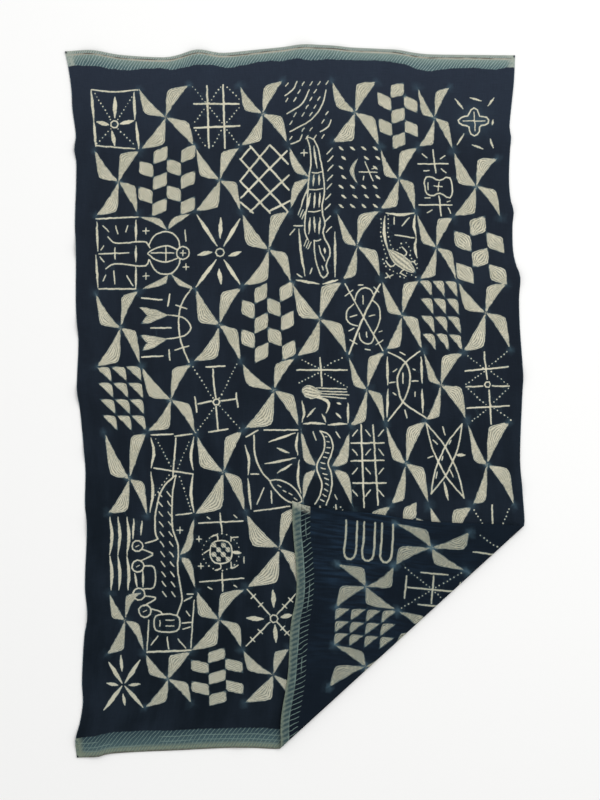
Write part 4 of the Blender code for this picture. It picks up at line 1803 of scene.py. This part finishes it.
# The colours of a hem, from its edge inwards, and of the stitches and the seam
Shades = namedtuple("Shades", "tip end rim edge twist next near far stitch seam")


def end_bands(steps, colours, sizes, colour, across, down, from_side, threads, reverse):
    """The hems of the two ends over the dyed colour."""
    noises = (
        steps.less(steps.noise(threads, 9.0, 2.0), 0.5),
        steps.noise(threads, 150.0, 3.0, 0.6),
        steps.less(steps.noise(threads, 34.0, 2.0), 0.5),
    )
    top = Shades(
        colours.ground_foot, colours.hem_top_edge, colours.hem_top_edge, colours.hem_top_edge,
        colours.hem_top_twist, colours.hem_beige, colours.hem_top_near, colours.hem_top_far,
        colours.hem_top_stitch, colours.seam,
    )
    foot = Shades(
        colours.ground_foot, colours.hem_foot_edge, colours.seam, colours.hem_foot_edge,
        colours.hem_foot_twist, colours.hem_foot_near, colours.hem_foot_near, colours.hem_foot_far,
        colours.hem_foot_stitch, colours.hem_foot_stitch,
    )
    back = Shades(
        colours.cream_grey, colours.cream_grey, colours.hem_foot_edge, colours.hem_back_edge,
        colours.hem_foot_twist, colours.ground_reverse, colours.ground_reverse, colours.ground_reverse,
        colours.hem_foot_stitch, colours.hem_foot_stitch,
    )
    from_foot = steps.less(sizes.length, down)
    cloth, inside = hem_band(steps, TOP_BAND, top, across, down, from_side, noises)
    colour = steps.mix(inside, colour, cloth)
    cloth, inside = hem_band(steps, FOOT_BAND, foot, across, from_foot, from_side, noises)
    front_only = steps.times(inside, steps.less(1.0, reverse))
    colour = steps.mix(front_only, colour, cloth)
    cloth, inside = hem_band(steps, FOOT_REVERSE_BAND, back, across, from_foot, from_side, noises)
    return steps.mix(steps.times(inside, reverse), colour, cloth)


def hem_band(steps, band, shades, across, distance, from_side, noises):
    """One hem's colour, and where it lies.

    A stitch or a twist is a stripe where the place along the end, less the lean
    times the distance from it, is half way through its pitch.
    """
    wander, rough, shake = noises
    slanted = steps.less(across, steps.times(distance, band.lean))

    def stripes(pitch, shaken, wide, narrow):
        place = steps.calculate("DIVIDE", steps.plus(slanted, steps.times(shake, shaken)), pitch)
        return steps.range(steps.off_half(place), wide, narrow)

    def beside(place, reach):
        off = steps.plus(steps.less(distance, place), steps.times(wander, 0.008))
        return steps.range(steps.calculate("ABSOLUTE", off), reach, 0.4 * reach)

    # The band: it darkens away from the end, and its stitches are uneven
    cloth = steps.mix(steps.range(distance, band.edge, band.edge + 0.005), shades.next, shades.near)
    cloth = steps.mix(steps.range(distance, band.edge + 0.004, band.end), cloth, shades.far)
    uneven = steps.range(rough, 0.30, 0.56, 0.40, 0.95)
    stitch = steps.times(stripes(band.pitch, 0.009, band.half, 0.3 * band.half), uneven)
    for place in band.threads:
        shown = steps.range(wander, band.rare, band.rare + 0.08, 0.0, 0.6)
        thread = steps.times(beside(place, 0.0013), shown)
        cloth = steps.mix(thread, cloth, shades.stitch)

    # The twisted edge strip, the seam beside it, and the plainer ends of the hem
    twist = steps.times(stripes(band.twist, 0.006, 0.34, 0.16), steps.range(rough, 0.32, 0.55, 0.4, 1.0))
    strip = steps.mix(twist, shades.edge, shades.twist)
    cloth = steps.mix(steps.range(distance, band.edge + band.soft, band.edge - band.soft), cloth, strip)
    stitch = steps.times(stitch, steps.range(distance, band.edge - 0.003, band.edge + 0.003, 0.25, 1.0))
    cloth = steps.mix(stitch, cloth, shades.stitch)
    # The seam's line: at the top end its dark colour is painted shade where the turned hem's edge shades
    # its groove, at the foot it is pale thread
    sunk = steps.times(steps.range(shake, -0.12, 0.08, 0.25, 1.0), band.sunk)
    cloth = steps.mix(steps.times(beside(band.edge, 0.0015), sunk), cloth, shades.seam)
    rim = steps.range(distance, 0.5 * band.edge, 0.0)
    rim = steps.times(rim, steps.range(rough, 0.35, 0.55, 0.3, 0.85))
    cloth = steps.mix(rim, cloth, shades.rim)
    plain = steps.range(steps.plus(from_side, steps.times(wander, 0.02)), 0.020, 0.006)
    plain = steps.times(plain, steps.range(rough, 0.38, 0.55, 0.4, 0.9))
    cloth = steps.mix(plain, cloth, shades.end)
    tip = steps.times(steps.range(from_side, 0.005, 0.002), steps.range(distance, 0.006, 0.003))
    cloth = steps.mix(tip, cloth, shades.tip)
    stop = steps.plus(
        distance, steps.times(wander, band.wander), steps.times(steps.less(rough, 0.5), 0.006))
    return cloth, steps.range(stop, band.end + 0.0011, band.end - 0.0011)


def size(name, description, default, least, most):
    """A length that the panel shows."""
    return FloatProperty(
        name=name, description=description, default=default, min=least, max=most, unit="LENGTH")


class AdireSizes(bpy.types.PropertyGroup):
    width: size("Width", "From selvedge to selvedge", 0.900, 0.5, 1.3)
    length: size("Length", "From hem to hem", 1.410, 0.8, 2.0)
    thickness: size("Thickness", "Of the plain cloth", 0.0012, 0.0004, 0.003)
    hem_width: size("Hem width", "Of the turned hem at each end", 0.008, 0.002, 0.02)
    hem_thickness: size("Hem thickness", "At the middle of the hem", 0.0020, 0.0004, 0.004)
    fold_angle: FloatProperty(
        name="Fold angle", description="Of the folded corner's fold, from the bottom end",
        default=math.radians(42.4), min=math.radians(30), max=math.radians(60), subtype="ANGLE")
    hand: IntProperty(
        name="Hand", description="Another number gives another shake of the dyer's hand", default=5, min=0)


def dye(name, description, *parts):
    """A colour that the panel shows, from its three parts out of 255."""
    return FloatVectorProperty(
        name=name, description=description, subtype="COLOR", size=3, min=0.0, max=1.0,
        default=linear(*parts))


class AdireColours(bpy.types.PropertyGroup):
    # From the top end to the foot the ground colours carry painted light and shade: paler at the top,
    # darkest at the foot
    ground_top: dye("Ground, top end", "Dyed ground beside the top hem", 41, 48, 60)
    ground_middle: dye("Ground, middle", "Dyed ground below the first row of motifs", 31, 37, 46)
    ground_foot: dye("Ground, foot", "Dyed ground near the bottom end", 19, 26, 33)
    ground_pale: dye("Pale ground", "Where the ground took less dye", 44, 54, 67)
    ground_reverse: dye("Ground, reverse", "Dyed ground on the reverse", 19, 27, 36)
    # Painted sheen on the creases of the turned-up corner
    crease_sheen: dye("Rubbed streaks", "Paler streaks on the reverse", 44, 66, 88)
    haze: dye("Haze", "Where the dye crept under the paste", 92, 122, 138)
    stain: dye("Stain", "Along the outlines of the paste", 92, 118, 126)
    cream: dye("Cream", "Undyed cotton", 222, 215, 190)
    cream_dull: dye("Dull cream", "Undyed cotton where it is soiled", 206, 200, 174)
    # Mixed into the cream towards the foot as painted shade, and the colour of the reverse hem's plain ends
    # and tips
    cream_grey: dye("Grey cream", "Undyed cotton near the bottom end", 166, 168, 152)
    cream_reverse: dye("Cream, reverse", "Undyed cotton on the reverse", 158, 157, 136)
    scratch: dye("Scratches", "Fine dyed lines in the cream", 62, 72, 74)
    hem_beige: dye("Hem, beige", "Undyed threads below the top hem's seam", 184, 176, 158)
    hem_top_edge: dye("Top hem, edge", "The rolled edge of the top hem", 156, 164, 154)
    hem_top_twist: dye("Top hem, twist", "Half dyed threads in the top hem's edge", 98, 116, 116)
    hem_top_near: dye("Top band, near", "The top band beside the seam", 108, 128, 122)
    hem_top_far: dye("Top band, far", "The top band beside the ground", 74, 97, 100)
    hem_top_stitch: dye("Top stitches", "Slanted stitches of the top band", 154, 170, 168)
    hem_foot_edge: dye("Foot hem, edge", "The edge of the bottom hem", 116, 126, 110)
    hem_foot_twist: dye("Foot hem, twist", "Half dyed threads in the bottom hem's edge", 94, 108, 102)
    hem_foot_near: dye("Foot band, near", "The bottom band beside the hem", 66, 86, 90)
    hem_foot_far: dye("Foot band, far", "The bottom band beside the ground", 46, 63, 70)
    hem_foot_stitch: dye("Foot stitches", "Slanted stitches of the bottom band", 110, 130, 124)
    hem_back_edge: dye("Reverse hem, edge", "The edge of the bottom hem on the reverse", 57, 75, 78)
    # At the top end this dark line is painted shade under the turned hem's edge; it also colours the foot
    # hem's rim
    seam: dye("Seam", "The top hem's sunk seam", 84, 78, 70)


class AdireStage(bpy.types.PropertyGroup):
    floor: dye("Floor", "The plain floor under the cloth", 246, 246, 245)
    strength: FloatProperty(
        name="Light", description="Strength of the light from all round", default=0.78, min=0.0, max=5.0)
    lamp: FloatProperty(
        name="Lamp", description="Power of the large soft lamp above", default=62.0, min=0.0, max=2000.0,
        unit="POWER")
    camera_height: size("Camera height", "Of the camera above the floor", 4.0, 2.0, 10.0)
    field: size("Field", "Length of floor that the picture shows", 1.6, 1.0, 4.0)


class ADIRE_OT_lay_cloth(bpy.types.Operator):
    """Lay out the cloth with its dyed pattern, in place of the plain sheet"""

    bl_idname = "adire.lay_cloth"
    bl_label = "Lay out the cloth"
    bl_options = {"REGISTER", "UNDO"}

    def execute(self, context):
        sizes = context.scene.adire_sizes
        colours = context.scene.adire_colours
        chart = draw_chart(sizes.hand)
        mesh, middle = sheet_mesh("cloth", chart, sizes)
        if not len(mesh.polygons):
            raise RuntimeError("the cloth's net came out empty")
        cloth = bpy.data.objects.new("cloth", mesh)
        context.scene.collection.objects.link(cloth)
        mesh.materials.append(indigo_material(colours, sizes))
        context.scene["adire_middle"] = [float(value) for value in middle[:2]]
        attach(cloth, "root")
        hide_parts(CLOTH_NODE)
        return {"FINISHED"}


# The stage: a floor just under the cloth, a lamp above that is aimed near its
# middle, and a camera that looks straight down, a little off the cloth's middle
FLOOR_HALF_SIDE = 12.0
FLOOR_DROP = 0.0004
FLOOR_ROUGHNESS = 0.9
FLOOR_SHINE = 0.1
LAMP_SIDE = 2.6
LAMP_PLACE = Vector((1.5, 1.9, 3.2))
LAMP_AIM = Vector((0.0, 0.1, 0.0))
CAMERA_ASIDE = (0.010, 0.004)
SENSOR_HEIGHT = 36.0
CLIP_END = 60.0


class ADIRE_OT_set_stage(bpy.types.Operator):
    """Set the plain floor, the soft light and the camera that looks straight down"""

    bl_idname = "adire.set_stage"
    bl_label = "Set the stage"
    bl_options = {"REGISTER", "UNDO"}

    def execute(self, context):
        scene = context.scene
        stage = scene.adire_stage
        middle = scene.get("adire_middle", (0.0, 0.0))
        mesh = bpy.data.meshes.new("floor")
        signs = ((-1, -1), (1, -1), (1, 1), (-1, 1))
        corners = [(x * FLOOR_HALF_SIDE, y * FLOOR_HALF_SIDE, -FLOOR_DROP) for x, y in signs]
        mesh.from_pydata(corners, [], [(0, 1, 2, 3)])
        floor = bpy.data.objects.new("floor", mesh)
        scene.collection.objects.link(floor)
        material = bpy.data.materials.new("pale_floor")
        material.use_nodes = True
        shader = material.node_tree.nodes["Principled BSDF"]
        shader.inputs["Base Color"].default_value = (*stage.floor, 1.0)
        shader.inputs["Roughness"].default_value = FLOOR_ROUGHNESS
        shader.inputs["Specular IOR Level"].default_value = FLOOR_SHINE
        mesh.materials.append(material)

        lamp = bpy.data.lights.new("soft_lamp", "AREA")
        lamp.shape = "RECTANGLE"
        lamp.size = LAMP_SIDE
        lamp.size_y = LAMP_SIDE
        lamp.energy = stage.lamp
        lamp_object = bpy.data.objects.new("soft_lamp", lamp)
        lamp_object.location = LAMP_PLACE
        lamp_object.rotation_euler = (LAMP_AIM - LAMP_PLACE).to_track_quat("-Z", "Y").to_euler()
        scene.collection.objects.link(lamp_object)

        world = scene.world or bpy.data.worlds.new("studio")
        scene.world = world
        world.use_nodes = True
        background = world.node_tree.nodes["Background"]
        background.inputs["Color"].default_value = (1.0, 1.0, 1.0, 1.0)
        background.inputs["Strength"].default_value = stage.strength

        camera = bpy.data.cameras.new("camera")
        camera.sensor_fit = "VERTICAL"
        camera.sensor_height = SENSOR_HEIGHT
        camera.lens = SENSOR_HEIGHT * stage.camera_height / stage.field
        camera.clip_end = CLIP_END
        camera_object = bpy.data.objects.new("camera", camera)
        camera_object.location = (
            CAMERA_ASIDE[0] - middle[0], CAMERA_ASIDE[1] - middle[1], stage.camera_height)
        scene.collection.objects.link(camera_object)
        scene.camera = camera_object
        scene.view_settings.view_transform = "Standard"
        scene.view_settings.look = "None"
        scene.view_settings.exposure = 0.0
        scene.view_settings.gamma = 1.0
        return {"FINISHED"}


class ADIRE_PT_panel(bpy.types.Panel):
    """The cloth's pieces, sizes and colours"""

    bl_idname = "ADIRE_PT_panel"
    bl_label = "Adire cloth"
    bl_space_type = "VIEW_3D"
    bl_region_type = "UI"
    bl_category = "Adire"

    def draw(self, context):
        layout = self.layout
        scene = context.scene
        layout.operator(ADIRE_OT_lay_cloth.bl_idname)
        layout.operator(ADIRE_OT_set_stage.bl_idname)
        for group in (scene.adire_sizes, scene.adire_colours, scene.adire_stage):
            box = layout.box()
            for name in group.__annotations__:
                box.prop(group, name)


CLASSES = (AdireSizes, AdireColours, AdireStage, ADIRE_OT_lay_cloth, ADIRE_OT_set_stage, ADIRE_PT_panel)


def register():
    for item in CLASSES:
        bpy.utils.register_class(item)
    bpy.types.Scene.adire_sizes = PointerProperty(type=AdireSizes)
    bpy.types.Scene.adire_colours = PointerProperty(type=AdireColours)
    bpy.types.Scene.adire_stage = PointerProperty(type=AdireStage)


def unregister():
    for name in ("adire_stage", "adire_colours", "adire_sizes"):
        delattr(bpy.types.Scene, name)
    for item in reversed(CLASSES):
        bpy.utils.unregister_class(item)


def main():
    register()
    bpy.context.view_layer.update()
    bpy.ops.adire.lay_cloth()
    bpy.ops.adire.set_stage()


if __name__ == "__main__":
    main()
